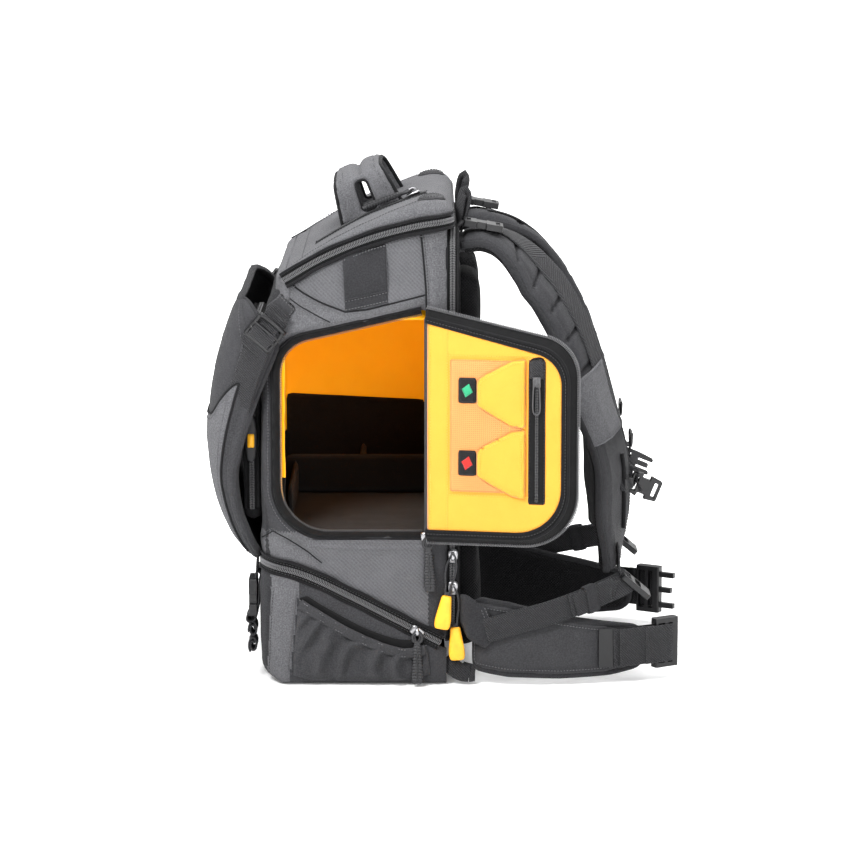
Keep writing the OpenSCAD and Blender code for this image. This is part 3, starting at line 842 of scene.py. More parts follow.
# key: name, colour, rough, bump, specular, further settings
PLASTICS = {
    "plastic": ("black_plastic", (0.010, 0.010, 0.011), 0.34, 0.12, 0.45, dict(wear=0.06)),
    "plastic_g": ("grey_plastic", (0.05, 0.05, 0.053), 0.45, 0.15, 0.45, {}),
    "rubber": ("soft_pull", (0.028, 0.028, 0.03), 0.55, 0.25, 0.35, dict(wear=0.25)),
    "yplastic": ("yellow_plastic", (0.82, 0.40, 0.025), 0.42, 0.15, 0.5, dict(wear=0.1)),
    "metal": ("gunmetal", (0.32, 0.32, 0.33), 0.32, 0.1, 0.5,
              dict(grain=900.0, metallic=1.0, wear=0.3)),
    "coil": ("zipper_coil", (0.04, 0.04, 0.042), 0.35, 0.05, 0.6, dict(wear=0.7)),
    "coil_l": ("zipper_coil_light", (0.075, 0.075, 0.078), 0.35, 0.05, 0.6, dict(wear=0.7)),
}
MATERIALS = {key: cloth(*row[:-1], **row[-1]) for key, row in CLOTHS.items()}
MATERIALS.update((key, plastic(*row[:-1], **row[-1])) for key, row in PLASTICS.items())
# painted light: the orange lining gives off a little light of its own, though it is no lamp, so
# it stays bright in the compartment's shade; this holds for every part made of it
lining_painted_glow = MATERIALS["orange"].node_tree.nodes["Principled BSDF"].inputs
lining_painted_glow["Emission Color"].default_value = (1.0, 0.5, 0.0, 1)
lining_painted_glow["Emission Strength"].default_value = 0.16

CAD_MATERIALS = {
    "buckle_plastic": "plastic", "yellow_plastic": "yplastic", "slider_metal": "metal",
    "charcoal_fabric": "charcoal", "grey_twill": "grey", "black_webbing": "webbing",
    "spacer_mesh": "spacer", "yellow_lining": "yellow", "tan_mesh": "ymesh",
    "green_tag": "green", "red_tag": "red",
}
cad_slots = {part["node"]: part["material_slot"] for part in frame["record"]["subparts"]}
for node, ob in frame["nodes"].items():
    ob.data.materials.clear()
    ob.data.materials.append(MATERIALS[CAD_MATERIALS[cad_slots[node]]])

# ------------------------------------------------------------------ shared curves (y, z)
seam_z = lookup(spline([(-75, 389), (-35, 412), (9, 430), (50, 441), (81, 446)], 2))
pouch_z = lookup(spline([(-96, 119), (-55, 108), (-11, 87), (30, 65.5), (67, 46), (81, 39)], 2))
OPEN_REAR, OPEN_FRONT, OPEN_LOW = 60, -76, 151
OPEN_TOP_REAR, OPEN_TOP_FRONT = 358, 326


def door_shape(grow):
    """outline (y, z) of the side opening, grown by a margin"""
    rear = OPEN_REAR + min(grow, 1.6)
    return rounded([(rear, OPEN_LOW - grow), (rear, OPEN_TOP_REAR + grow),
                    (OPEN_FRONT - grow, OPEN_TOP_FRONT + grow),
                    (OPEN_FRONT - grow, OPEN_LOW - grow)],
                   [2, 2, 34 + grow * 0.5, 46 + grow * 0.5], 9)


# The wall is measured along its plan, from the right rear edge round the front to the left.
BODY_HALF, POUCH_HALF = 146.0, 148.0
BODY_FRONT, BODY_REAR = -96.0, 81.0
CORNER = 24.0
SIDE_END = BODY_REAR - BODY_FRONT - CORNER
CORNER_END = SIDE_END + CORNER * PI / 2
GIRTH = CORNER_END + 2 * (BODY_HALF - CORNER) + CORNER * PI / 2 + SIDE_END


def wall(along, half_width=BODY_HALF, z=0.0):
    """points and outward normals at distances along the wall"""
    along = np.asarray(along, float)
    inner = half_width - CORNER
    corner_y = BODY_FRONT + CORNER
    front_end = CORNER_END + 2 * inner
    left_start = front_end + CORNER * PI / 2
    zones = [along <= SIDE_END, along <= CORNER_END, along <= front_end, along <= left_start]
    first, second = (along - SIDE_END) / CORNER, (along - front_end) / CORNER
    x = np.select(zones, [half_width, inner + CORNER * np.cos(first),
                          inner - (along - CORNER_END), -inner - CORNER * np.sin(second)],
                  -half_width)
    y = np.select(zones, [BODY_REAR - along, corner_y - CORNER * np.sin(first), BODY_FRONT,
                          corner_y - CORNER * np.cos(second)],
                  corner_y + (along - left_start))
    out_x = np.select(zones, [1.0, np.cos(first), 0.0, -np.sin(second)], -1.0)
    out_y = np.select(zones, [0.0, -np.sin(first), -1.0, -np.cos(second)], 0.0)
    flat = np.zeros(len(along))
    return np.c_[x, y, flat + z], np.c_[out_x, out_y, flat]


def along_of(y):
    """distance along the wall of a point of the right side"""
    y = np.asarray(y, float)
    corner_y = BODY_FRONT + CORNER
    bend = np.arcsin(np.clip((corner_y - y) / CORNER, 0, 1))
    return np.where(y >= corner_y, BODY_REAR - y, SIDE_END + CORNER * bend)


def to_wall(line):
    """(y, z) of the right side to (distance along the wall, z)"""
    line = np.asarray(line, float)
    return np.c_[along_of(line[:, 0]), line[:, 1]]


def place_on_body(pts, height):
    base, out = wall(pts[:, 0], z=pts[:, 1])
    x, y, z = base.T
    # (z, y of the front wall), which leans back towards the lid
    front = np.interp(z, [0, 318, 336, 350, 364, 378, 389, 420],
                      [-96, -96, -95.2, -93.2, -89.6, -83.5, -76.5, -60])
    leaned = np.where(y > -40, y, -40 + (y + 40) * (-40 - front) / 56.0)
    taper = np.interp(z, [120, 300, 446], [0, 0, -2.2])
    return np.c_[x + out[:, 0] * height + out[:, 0] * taper, leaned + out[:, 1] * height, z]


# outline of the shell in (distance along the wall, z)
outline_along = np.linspace(0, GIRTH, 260)
outline_y = wall(outline_along)[0][:, 1]
top_y = np.where(outline_y > -40, outline_y, -40 + (outline_y + 40) * (-40 + 78) / 56.0)
shell_top = np.maximum(seam_z(top_y) - 4.2, 384.5)
shell_foot = pouch_z(outline_y) + 4.0
shell_outline = np.vstack([np.c_[outline_along, shell_foot],
                           np.c_[outline_along, shell_top][::-1]])
opening = to_wall(door_shape(5.0))

# seams of the sides (y, z): above the opening, over its front corner, at the rear, at the foot
UPPER_SEAM = [(-76, 386), (-62, 380), (-32, 367), (-14.8, 360.8), (5, 363), (30, 369),
              (61, 376.9)]
FRONT_SEAM = [(-80, 377), (-60, 366), (-29, 351.3)]
REAR_SEAM = [(56.7, 434), (59.5, 405), (61.4, 381), (61.8, 362), (61.6, 340)]
FOOT_SEAM = [(-95, 141), (-84, 150), (-70, 143), (-52, 131), (-38, 119.5)]


def phase_along(pts, loop):
    """place along a closed polyline nearest to each point"""
    loop = np.vstack([loop, loop[:1]])
    length = arc_length(loop)
    best, phase = np.full(len(pts), 1e9), np.zeros(len(pts))
    for i, (start, end) in enumerate(zip(loop[:-1], loop[1:])):
        run = end - start
        square = run @ run
        if square < 1e-9:
            continue
        part = np.clip(((pts - start) @ run) / square, 0, 1)
        distance = np.linalg.norm(pts - start - part[:, None] * run, axis=1)
        nearer = distance < best
        best = np.where(nearer, distance, best)
        phase = np.where(nearer, length[i] + part * math.sqrt(square), phase)
    return phase


def body_relief(pts, _=None):
    along, z = pts[:, 0], pts[:, 1]
    side = np.minimum(along, GIRTH - along)
    top = np.interp(along, outline_along, shell_top)
    foot = np.interp(along, outline_along, shell_foot)
    part = (z - foot) / (top - foot)
    flat = np.c_[along, z, np.zeros(len(along))]
    height = 4.2 * arch(part) ** 0.6 * arch(side / SIDE_END) ** 0.5
    height = height + 1.6 * np.clip(side - CORNER_END, 0, 40) / 40 * arch(part)
    height = height + 0.9 * noise(flat, 55, 3, 3)
    # creases along the bottom seam, and others above the opening
    crease = np.sin((along * 0.55 + z * 0.9) / 8.5 + 1.5 * noise(flat, 40, 2, 9))
    height = height + bell(z - foot - 22, 20) * 1.3 * crease * 0.6
    crease = np.sin((along * 0.9 - z * 0.7) / 11 + 2 * noise(flat, 50, 2, 5))
    height = height + smooth(340, 400, z) * smooth(0, 40, side) * 0.8 * crease * 0.7
    height = height + 0.28 * noise(flat, 11, 2, 7)
    for seam, width, depth in ((UPPER_SEAM, 2.2, 1.5), (FRONT_SEAM, 1.8, 1.0),
                               (REAR_SEAM, 2.0, 1.6), (FOOT_SEAM, 2.0, 1.2)):
        right = to_wall(seam)
        left = np.c_[GIRTH - right[:, 0], right[:, 1]]
        height = height + groove(pts, right, width, depth) + groove(pts, left, width, depth)
    # raised margin round the opening, then down into the zipper tape
    gap = line_distance(pts, opening, True)
    on_right = along < CORNER_END + 20
    height = height + np.where(on_right, 2.6 * bell(gap - 11, 6.5) - 1.2 * bell(gap, 3.5), 0)
    gathers = 0.5 * np.sin(phase_along(pts, opening) / 6.0) * bell(gap - 8, 6)
    height = height + np.where(on_right, gathers, 0)
    # edges draw in at the zippers and the rear
    return height - 2.4 * bell(top - z, 5.0) - 2.0 * bell(z - foot, 5.0) - 3.5 * bell(side, 7.0)


shell = mesh("body_shell",
             sheet(shell_outline, detail(3.4, 2.6), place_on_body, 5.0, body_relief,
                   holes=[opening], sharp=True, rim=3.0),
             "charcoal", "bag_body",
             replaces=("side_panel_right", "side_panel_left", "front_panel"))
upper_seam_z = lookup(UPPER_SEAM)
rear_seam_y = lookup([(300, 61.6), (340, 61.7), (381, 61.4), (405, 59.5), (434, 56.7)])
split_material(shell, [
    ("twill", lambda x, y, z: (np.abs(x) > 118) & (z - upper_seam_z(y) > 0)
     & (y < rear_seam_y(z)) & (y > -77)),
    ("grey", lambda x, y, z: (np.abs(x) > 118) & (
        ((y >= rear_seam_y(z)) & (z > 150))
        | (~(z - upper_seam_z(y) > 0) & (z > 326) & (y < 62)))),
    ("twill", lambda x, y, z: (np.abs(x) > 118) & (z < 142) & (y > -46) & (y < 64)),
    ("grey", lambda x, y, z: (np.abs(x) > 118) & (z < 150) & (y <= -46)),
    ("charcoal_d", lambda x, y, z: (np.abs(x) < 140) & (y > -91.5) & (z > 100) & (y < 78)),
])


def on_shell(line, lift=0.0):
    """3D points and normals over (y, z) points of the right side"""
    flat = to_wall(line)
    base, ahead, above = [place_on_body(flat + shift, body_relief(flat + shift) + lift)
                          for shift in ([0, 0], [0.8, 0], [0, 0.8])]
    normals = unit(np.cross(above - base, ahead - base))
    normals[normals[:, 0] < 0] *= -1
    return base, normals


def side_seam(line, offsets, pipe_radius=0.0, dark=False):
    """stitches beside a seam on both sides of the bag, and piping in it"""
    line = resample(line, 1.5)
    tangents = unit(np.gradient(line, axis=0))
    across = np.c_[-tangents[:, 1], tangents[:, 0]]
    for offset in offsets:
        sew_pair("bag_body", *on_shell(line + across * offset, 0.25), dark)
    if pipe_radius:
        path, _ = on_shell(line, pipe_radius * 0.7)
        pipe("bag_body", path, pipe_radius, 7)
        pipe("bag_body", flip(path), pipe_radius, 7)


side_seam(UPPER_SEAM, (-3.0,), pipe_radius=0.8)
side_seam(FRONT_SEAM, (-2.4,), pipe_radius=0.5)
side_seam(REAR_SEAM, (2.6,), pipe_radius=0.9, dark=True)
side_seam(FOOT_SEAM, (2.6, -2.6), pipe_radius=0.6)
side_seam([(-50, 142), (-38, 139.5), (0, 138.5), (58, 138.5)], (0.0,))
side_seam([(-70, 148), (-62, 143), (-50, 138), (-40, 134.5), (0, 133), (58, 133.5)], (0.0,))


# ------------------------------------------------------------------ opening: tape and coil
def opening_path(grow, rear_end=57.0):
    """open path (y, z) along the opening's foot, front and top"""
    rear, front = OPEN_REAR + min(grow, 1.6), OPEN_FRONT - grow
    low, top_rear, top_front = OPEN_LOW - grow, OPEN_TOP_REAR + grow, OPEN_TOP_FRONT + grow
    top_end = top_front + (top_rear - top_front) * (rear_end + 76 + grow) / (rear + 76 + grow)
    foot_corner, top_corner = vec(front, low), vec(front, top_front)
    end = vec(rear_end, top_end)
    bends = rounded([vec(rear_end + 40, low), foot_corner, top_corner,
                     end + (end - top_corner) * 0.5],
                    [0, 46 + grow * 0.5, 34 + grow * 0.5, 0], 12)[1:-1]
    return resample(np.vstack([vec(rear_end, low), bends, end]), 2.0)


def on_side(line):
    """points and normals of the plain right wall, for (y, z) points"""
    return wall(along_of(line[:, 0]), z=line[:, 1])


def opening_layers(first, last, layers, count):
    """steps from one margin to another: number, part, lengths, points, normals"""
    start, end = [resample(opening_path(grow), 1, count=count) for grow in (first, last)]
    for j in range(layers):
        part = j / (layers - 1)
        yield (j, part, arc_length(start), *on_side(start * (1 - part) + end * part))


# ruffled band from under the shell's edge to the coil
TAPE_LAYERS, TAPE_COLUMNS = 7, 240
rows = []
for _, part, arc, base, out in opening_layers(7.5, 1.5, TAPE_LAYERS, TAPE_COLUMNS):
    ruffle = 0.9 * np.sin(arc / 3.1 + 0.8 * np.sin(arc / 17.0)) * math.sin(PI * part)
    ruffle = ruffle * (0.5 + 0.5 * smooth(30, 90, arc) * smooth(0, 60, arc[-1] - arc))
    lift = 1.9 + 1.6 * math.sin(PI * part) - 4.6 * part * part
    rows.append(base + out * (lift + ruffle)[:, None])
upper = np.vstack(rows)
mesh("opening_tape", (np.vstack([upper, upper - np.tile(out, (TAPE_LAYERS, 1))]),
                      two_layers(TAPE_LAYERS, TAPE_COLUMNS)),
     "tape", "bag_body", replaces=("door_zipper_track",))
base, out = on_side(resample(opening_path(1.6), 1.5))
mesh("opening_coil", teeth(base - out * 2.6, out, 2.0, 3.6, 1.5, 1.2, lift=0.2), "coil",
     "bag_body")
base, out = on_side(resample(opening_path(7.9), 1.5))
pipe("bag_body", base + out * 2.3, 1.1)
sew("bag_body", *on_shell(resample(opening_path(11.0), 1.5), 0.3))

# ------------------------------------------------------------------ lining, shelf, dividers
# plan (x, y) of the lining: rear, far and front walls in one folded sheet
plan = spline([(131, 78), (60, 79.5), (-60, 79.5), (-128, 79), (-134.5, 70), (-135.2, 0),
               (-134.5, -74), (-127, -83.5), (-60, -85), (40, -85), (100, -84.5), (124, -80),
               (131, -72)], 3)
levels = np.linspace(146.5, 347.5, 58)
arc = arc_length(plan)
tangents = unit(np.gradient(plan, axis=0))
across = np.c_[tangents[:, 1], -tangents[:, 0]]
row_count, columns = len(levels), len(arc)
rows = []
for z in levels:
    flat = np.c_[arc, np.full(columns, z), np.zeros(columns)]
    height = 1.4 * noise(flat, 60, 3, 21) + 0.5 * noise(flat, 14, 2, 22) - 1.0
    rows.append(np.c_[plan - across * np.clip(height, -2.4, 1.2)[:, None],
                      np.full(columns, z)])
inner = np.vstack(rows)
outward = np.sign(np.sum((plan - plan.mean(0)) * across, 1))[:, None]
outer = inner + np.tile(np.c_[across * outward, np.zeros(columns)], (row_count, 1)) * 1.2
faces = two_layers(row_count, columns)
for j in range(row_count - 1):
    for start in (j * columns, j * columns + columns - 1):
        end = start + columns
        faces.append((start, end, end + len(inner), start + len(inner)))
lining = mesh("compartment_lining_cloth", (np.vstack([inner, outer]), faces), "orange",
              "bag_body", replaces=("compartment_lining",))
split_material(lining, [("loop", lambda x, y, z: z < 198)])
mesh("lining_far_seam",
     tube(spline([(-133.4, -60, 316), (-133.6, 0, 322), (-132.4, 60, 330), (-126, 76.5, 333)],
                 2), 0.8, 6), "tape", "bag_body")
mesh("compartment_floor",
     cushion(rounded([(133, -84), (133, 79), (-134, 79), (-134, -84)], 8), 5.0, 3.6, 3.4, 9,
             lambda pts, height: np.c_[pts, 143.6 + height],
             lambda pts, _: 0.5 * noise(pts, 30, 2, 4)), "loop", "bag_body")

# facing that turns inwards over the edges of the opening
rows = []
for j, part, arc, base, out in opening_layers(4.0, 3.4, 9, 200):
    wave = 0.5 * np.sin(arc / 5.0 + j) * math.sin(PI * part)
    rows.append(base + out * (-2.0 - 10.0 * part) + np.outer(wave * 0.3, (0, 0, 1)))
inner = np.vstack(rows)
outward = unit((inner - vec(0, -8, 250)) * (0, 1, 1))
mesh("opening_facing", (np.vstack([inner, inner + outward * 1.1]), two_layers(9, 200)),
     "orange", "bag_body")
mesh("shelf_pad",
     cushion(rounded([(131.5, -82), (131.5, 78.5), (-133, 78.5), (-133, -82)], 10), 5.0, 3.0,
             3.0, 5, lambda pts, height: np.c_[pts, 353 + height],
             lambda pts, _: 0.5 * noise(pts, 26, 2, 5)),
     "orange", "bag_body", replaces=("shelf_divider",))


def divider(start, end, low, high, thickness=6.0):
    """padded wall between two plan points"""
    start, end = vec(*start), vec(*end)
    length = np.linalg.norm(end - start)
    along = (end - start) / length

    def place(pts, height):
        return np.c_[start[0] + along[0] * pts[:, 0] - along[1] * height,
                     start[1] + along[1] * pts[:, 0] + along[0] * height, pts[:, 1]]

    return cushion(rounded(box(0, length, low, high), [3, 3, 12, 12]), 4.0, thickness / 2,
                   thickness / 2, 5, place, lambda pts, _: 0.25 * noise(pts, 18, 2, 6))


mesh("padded_dividers", [divider((-57, 79), (-57, -84), 148.5, 188),
                         divider((-61, -3), (-133, -3), 148.5, 188),
                         divider((-52, -69.5), (95, -69.5), 148.5, 184, 5)],
     "loop", "bag_body", replaces=("lens_dividers",))
# dark facing on the lower part of the compartment's far wall
mesh("loop_facing",
     sheet(rounded([(60, 149), (60, 231), (-82, 238), (-82, 149)], 4), 5,
           lambda pts, height: np.c_[-133.2 + height, pts], 1.0,
           lambda pts, _: 0.5 * noise(pts, 24, 2, 8) + 0.7), "loop", "bag_body")

# ------------------------------------------------------------------ lower pouch
# upright seams on the pouch's sides: y at the top and at the foot
POUCH_SEAMS = ((-60.0, -69.0), (-86.5, -91.0))


def pouch_bulge(along, z):
    """how far the pouch stands out from its flat wall"""
    side = np.minimum(along, GIRTH - along)
    top = pouch_z(wall(along, POUCH_HALF)[0][:, 1]) - 4.5
    part = np.clip((z - 6) / (top - 6), 0, 1)
    flat = np.c_[along, z + 0 * along, np.zeros(len(along))]
    out = 2.0 * arch(part) ** 0.7 * arch(side / SIDE_END) ** 0.6
    out = out + 3.0 * arch(part) ** 0.8 * smooth(SIDE_END - 20, CORNER_END + 20, side)
    out = out + 0.7 * noise(flat, 38, 3, 31) + 0.22 * noise(flat, 9, 2, 32)
    out = out - 2.2 * bell(top - z, 3.5) - 2.6 * bell(side, 6.0)
    # diagonal pull lines that run down from the zipper
    pull = np.sin((along * 0.5 + z * 1.0) / 7.0 + 1.6 * noise(flat, 45, 2, 33))
    out = out + 0.7 * pull * bell(top - z - 16, 14)
    for ends in POUCH_SEAMS:
        start, end = along_of(np.array(ends))
        out = out + groove(np.c_[side, flat[:, 1]], [(start, 92.0), (end, 12.0)], 1.8, 1.3)
    return out


pouch_along = np.linspace(0, GIRTH, detail(230, 330))
base, out = wall(pouch_along, POUCH_HALF)
top = pouch_z(base[:, 1]) - 4.5
foot_radius = 9 + 12 * smooth(0.1, 0.9, np.abs(out[:, 1]))
rows = []
for j in range(30):
    z = top + (foot_radius - top) * j / 29
    rows.append(base + out * pouch_bulge(pouch_along, z)[:, None] + np.outer(z, (0, 0, 1)))
for j in range(1, 8):
    turn = j / 7 * PI / 2
    z = foot_radius * (1 - math.sin(turn))
    bulge = pouch_bulge(pouch_along, z) * math.cos(turn)
    inset = foot_radius * (1 - math.cos(turn))
    rows.append(base + out * (bulge - inset)[:, None] + np.outer(z + 0.4, (0, 0, 1)))
row_count, columns = len(rows), len(pouch_along)
count = row_count * columns
lip = rows[0] - out * 4
faces = grid_faces(row_count, columns)
for upper, lower in ((0, count), (count, count + columns)):
    faces += [(upper + i, upper + i + 1, lower + i + 1, lower + i) for i in range(columns - 1)]
faces.append(tuple(range(count - columns, count)))
faces.append(tuple(range(count + columns, count + 2 * columns)))
# rear wall
faces.append(tuple(range(0, count, columns))
             + tuple(range(columns - 1, count, columns))[::-1]
             + (count + columns - 1, count + 2 * columns - 1, count + columns, count))
pouch = mesh("pouch_shell", (np.vstack(rows + [lip, lip - vec(0, 0, 22)]), faces),
             "charcoal", "bag_body", replaces=("lower_pouch",))
rear_line, front_line = [lookup([(10, foot), (90, head)]) for head, foot in POUCH_SEAMS]
split_material(pouch, [
    ("grey", lambda x, y, z: (np.abs(x) > 118) & (y < rear_line(z)) & (y > front_line(z))
     & (z > 3)),
    ("charcoal_d", lambda x, y, z: (np.abs(x) <= 126) | (y < front_line(z)) | (z < 3)),
])


def on_pouch(line, lift=0.0):
    line = np.asarray(line, float)
    along = along_of(line[:, 0])
    base, out = wall(along, POUCH_HALF, line[:, 1])
    return base + out * (pouch_bulge(along, line[:, 1]) + lift)[:, None], out


for (head, foot), shift in zip(POUCH_SEAMS[:1] + POUCH_SEAMS, (-2.4, 2.4, 2.4)):
    line = resample([(head + shift, 91), (foot + shift, 12)], 1.5)
    sew_pair("bag_body", *on_pouch(line, 0.25), dark=shift > 0)


def upward(path, normals):
    """directions across a band that point up"""
    across = frames(path, normals)[2]
    return across * np.sign(across[:, 2:3] + 1e-9)


# zipper round the pouch
zip_wall = wall(np.linspace(6, GIRTH - 6, 400), half_width=147.0)[0]
path = resample(np.c_[zip_wall[:, :2], pouch_z(zip_wall[:, 1])], 1.6)
out = np.zeros((len(path), 3))
on_flank = path[:, 1] > -72
out[on_flank, 0] = np.sign(path[on_flank, 0])
inner = np.c_[np.clip(path[:, 0], -124, 124), np.clip(path[:, 1], -72, 200)]
out[~on_flank, :2] = unit(path[:, :2] - inner)[~on_flank]
zipper("pouch_zip", "bag_body", path, out, (15.0, 1.1), (2.0, 5.4, 1.7, 1.25, 1.1),
       replaces=("pouch_zipper_track",))
rise = upward(path, out)
wave = 0.35 * np.sin(arc_length(path) / 6.0)[:, None]
for offset, radius in ((7.4, 1.5), (-7.2, 1.1)):
    pipe("bag_body", path + rise * (offset + wave) + out * 0.9, radius)
for offset in (4.6, -4.6):
    sew("bag_body", path + rise * offset + out * 0.8, out, dark=True)

# gathered stretch pocket on both sides, in (y, z)
HEM = spline([(-59, 84.5), (-44, 75), (-20, 60.5), (8, 46.5), (32, 38.2), (50, 37), (61, 40)],
             2)
hem_z = lookup(HEM)
pocket_outline = np.vstack([HEM, [(63.5, 30), (65.5, 12), (50, 5.5), (0, 3.5), (-50, 5),
                                  (-66, 10), (-64.5, 40), (-61, 70)]])


def pocket_height(pts, _=None):
    y, z = pts.T
    hem = hem_z(y)
    part = np.clip((hem - z) / np.maximum(hem - 5, 8), 0, 1)
    flat = np.c_[y, z, np.zeros(len(y))]
    phase = (y + 0.38 * (hem - z)) / 10.5 + 1.1 * noise(flat, 34, 2, 41)
    fold = (0.5 + 0.5 * np.sin(phase * 2 * PI / 1.9)) ** 1.6 * (0.35 + arch(part * 0.9 + 0.08))
    middle = smooth(-66, -50, y) * smooth(66, 50, y)
    height = (1.0 + (0.6 + 5.6 * fold) * middle * (0.45 + 0.55 * smooth(0, 0.25, part))
              + 0.35 * noise(flat, 8, 2, 42))
    height = height * (1 - 0.75 * smooth(0.86, 1.0, part))
    # flatter at the rear, below the zipper pull
    return height * (1 - 0.55 * bell(y - 53, 7.0) * smooth(20, 30, z))


def place_pocket(pts, height):
    base, out = on_pouch(pts)
    tuck = np.clip(1 - pts[:, 1] / 9.0, 0, 1)
    base[:, 0] -= 9 * (1 - np.sqrt(np.clip(1 - tuck ** 2, 0, 1)))
    return base + out * (height + 0.6)[:, None]


mesh("stretch_pocket_cloth",
     pair(sheet(pocket_outline, detail(3.6, 2.6), place_pocket, 1.0, pocket_height)), "knit",
     "bag_body", replaces=("stretch_pockets",))
band = HEM - vec(0, 3.6)
base, out = on_pouch(band)
folds = pocket_height(band)
even = np.convolve(np.pad(folds, 10, "edge"), np.ones(21) / 21, "valid")
base = base + out * (np.maximum(even + 0.6, folds * 0.5 + even * 0.5 + 0.6) + 1.2)[:, None]
mesh("stretch_pocket_hem",
     pair(sweep(resample(base, 2), webbing_profile(9.5, 1.7), vec(1, 0, 0))), "smooth",
     "bag_body")
# dark sheet just above the hem, in the zipper tape's black cloth: painted shade in the pocket's
# mouth, not a lining
mouth = resample(HEM, 2.0)
rows = []
for offset, lift in ((-1.0, 1.6), (1.5, 0.9), (4.5, 0.7), (8.0, 0.5)):
    base, out = on_pouch(mouth + vec(0, offset) * smooth(-62, -50, mouth[:, 0])[:, None])
    rows.append(base + out * lift)
rows = np.array(rows)
normals = unit(np.cross(np.gradient(rows, axis=0), np.gradient(rows, axis=1)))
mesh("stretch_pocket_mouth_painted_shade", pair(thick_grid(rows, normals, 0.6)), "tape", "bag_body")
for offset in (3.3, -3.3):
    base, out = on_pouch(band + vec(0, offset))
    sew_pair("bag_body", base + out * (folds + 2.1)[:, None], out)

# pouch straps: flat webbing into the buckle, tail below it that ends in two rolls
STRAP_X = 110.0
shapes = []
for side in (-1, 1):
    shapes.append(ribbon([(STRAP_X, -98.6, 127), (STRAP_X, -100.5, 118), (STRAP_X, -101.2, 108),
                          (STRAP_X, -102.5, 99), (STRAP_X, -105.5, 93)],
                         2, (0, -1, 0), 25, 1.7, side))
    shapes.append(ribbon([(STRAP_X, -105.2, 66), (STRAP_X, -110.2, 62.6), (STRAP_X, -111.2, 58),
                          (STRAP_X, -108.2, 55.5), (STRAP_X, -103.5, 58), (STRAP_X, -100.2, 70),
                          (STRAP_X, -98.8, 92), (STRAP_X, -98.7, 98)],
                         2, None, 24, 1.6, side))
    for middle_z, start in ((48.5, 0.0), (33.0, 0.6)):
        turn = np.linspace(0, 2 * PI * 1.55, 60)
        radius = 2.0 + 1.0 * turn / PI
        roll = resample(np.c_[np.full(60, STRAP_X * side),
                              -105.4 + radius * np.cos(turn + start) * 0.85,
                              middle_z + radius * np.sin(turn + start) * 1.6], 1.2)
        tangents = np.gradient(roll, axis=0)
        out = unit(np.c_[np.zeros(len(roll)), -tangents[:, 2], tangents[:, 1]])
        shapes.append(webbing(roll, out, 24, 1.5))
mesh("pouch_strap_webbing", shapes, "webbing", "bag_body", replaces=("pouch_straps",))
# folded webbing tails at the rear lower corners
shapes = []
for side in (-1, 1):
    shapes.append(ribbon([(138.5, 80, 25), (140.5, 84.5, 19), (142, 90, 14.2),
                          (143, 96, 11.4), (143.6, 102.5, 10.8)],
                         1.6, (1, -0.2, 0.25), 17, 1.6, side))
    shapes.append(ribbon([(143.6, 102.5, 10.8), (143.4, 104.4, 10.8), (142.0, 104.0, 11.0),
                          (141.4, 99, 12.2), (140.8, 95, 13.4)],
                         1.0, (1, -0.2, 0.25), 17, 1.4, side))
mesh("rear_corner_tails", shapes, "webbing", "back_panel")

# ------------------------------------------------------------------ lid
LID_CREST = spline([(-78, 394), (-69, 400), (-40, 419), (-11, 436), (28, 453), (62, 464.6),
                    (77, 464.2), (84, 459.5), (87, 455)], 1.5)
LID_RADIUS = 13.0
LID_SLOPE = math.radians(20.9)
lid_crest = lookup(LID_CREST)


def lid_base(y):
    return np.minimum(seam_z(y) + 3.4, lid_crest(y) - 1.0)


def lid_half(y):
    rear = np.clip((y - 68) / 20.0, 0, 1)
    front = np.clip((-60 - y) / 20.0, 0, 1)
    return 144.5 - 14 * (1 - np.sqrt(1 - rear ** 2)) - 7 * (1 - np.sqrt(1 - front ** 2))


def lid_crown(pts):
    x, y = pts[:, 0], pts[:, 1]
    return (1.2 * (1 - (x / 144.0) ** 2) + 0.8 * noise(pts, 60, 3, 51) * smooth(-70, -40, y)
            + 0.2 * noise(pts, 13, 2, 52))


rows = []
turn = np.arange(1, 8) / 7 * PI / 2
for y in np.concatenate([np.linspace(-78, -70, 6), np.linspace(-68, 74, detail(56, 76)),
                         np.linspace(76, 87, 12)]):
    base, crest, half = float(lid_base(y)), float(lid_crest(y)), float(lid_half(y))
    tall = max(crest - base, 0.6)
    radius = min(LID_RADIUS, tall * 0.72)
    edge = np.vstack([[(half, base), (half + 0.3, base + (tall - radius) * 0.5),
                       (half, crest - radius)],
                      np.c_[half - radius + radius * np.cos(turn),
                            crest - radius + radius * np.sin(turn)]])
    across = (half - radius) * (1 - np.arange(1, 40) / 20.0)
    x, z = np.vstack([edge, np.c_[across, np.full(39, crest)], edge[::-1] * (-1, 1)]).T
    pts = np.c_[x, np.full(len(x), y), z]
    part = np.clip((z - base) / tall, 0, 1)
    crown = lid_crown(pts) * part - 1.3 * bell(y + 62, 3.0) * part
    sway = 0.8 * noise(pts, 45, 3, 53) * np.sin(PI * part) * np.sign(x)
    rows.append(pts + np.c_[sway, np.zeros(len(x)), crown])
vertices, faces = loft(rows)
row_count, columns = len(rows), len(rows[0])
# the faces that close the underside come last, after both end caps
wrap = [(i * columns, (i + 1) * columns - 1, (i + 2) * columns - 1, (i + 1) * columns)
        for i in range(row_count - 1)]
faces = grid_faces(row_count, columns) + faces[-2:] + wrap
mesh("lid_shell", (vertices, faces), "grey", "top_lid",
     replaces=("lid_panel",))


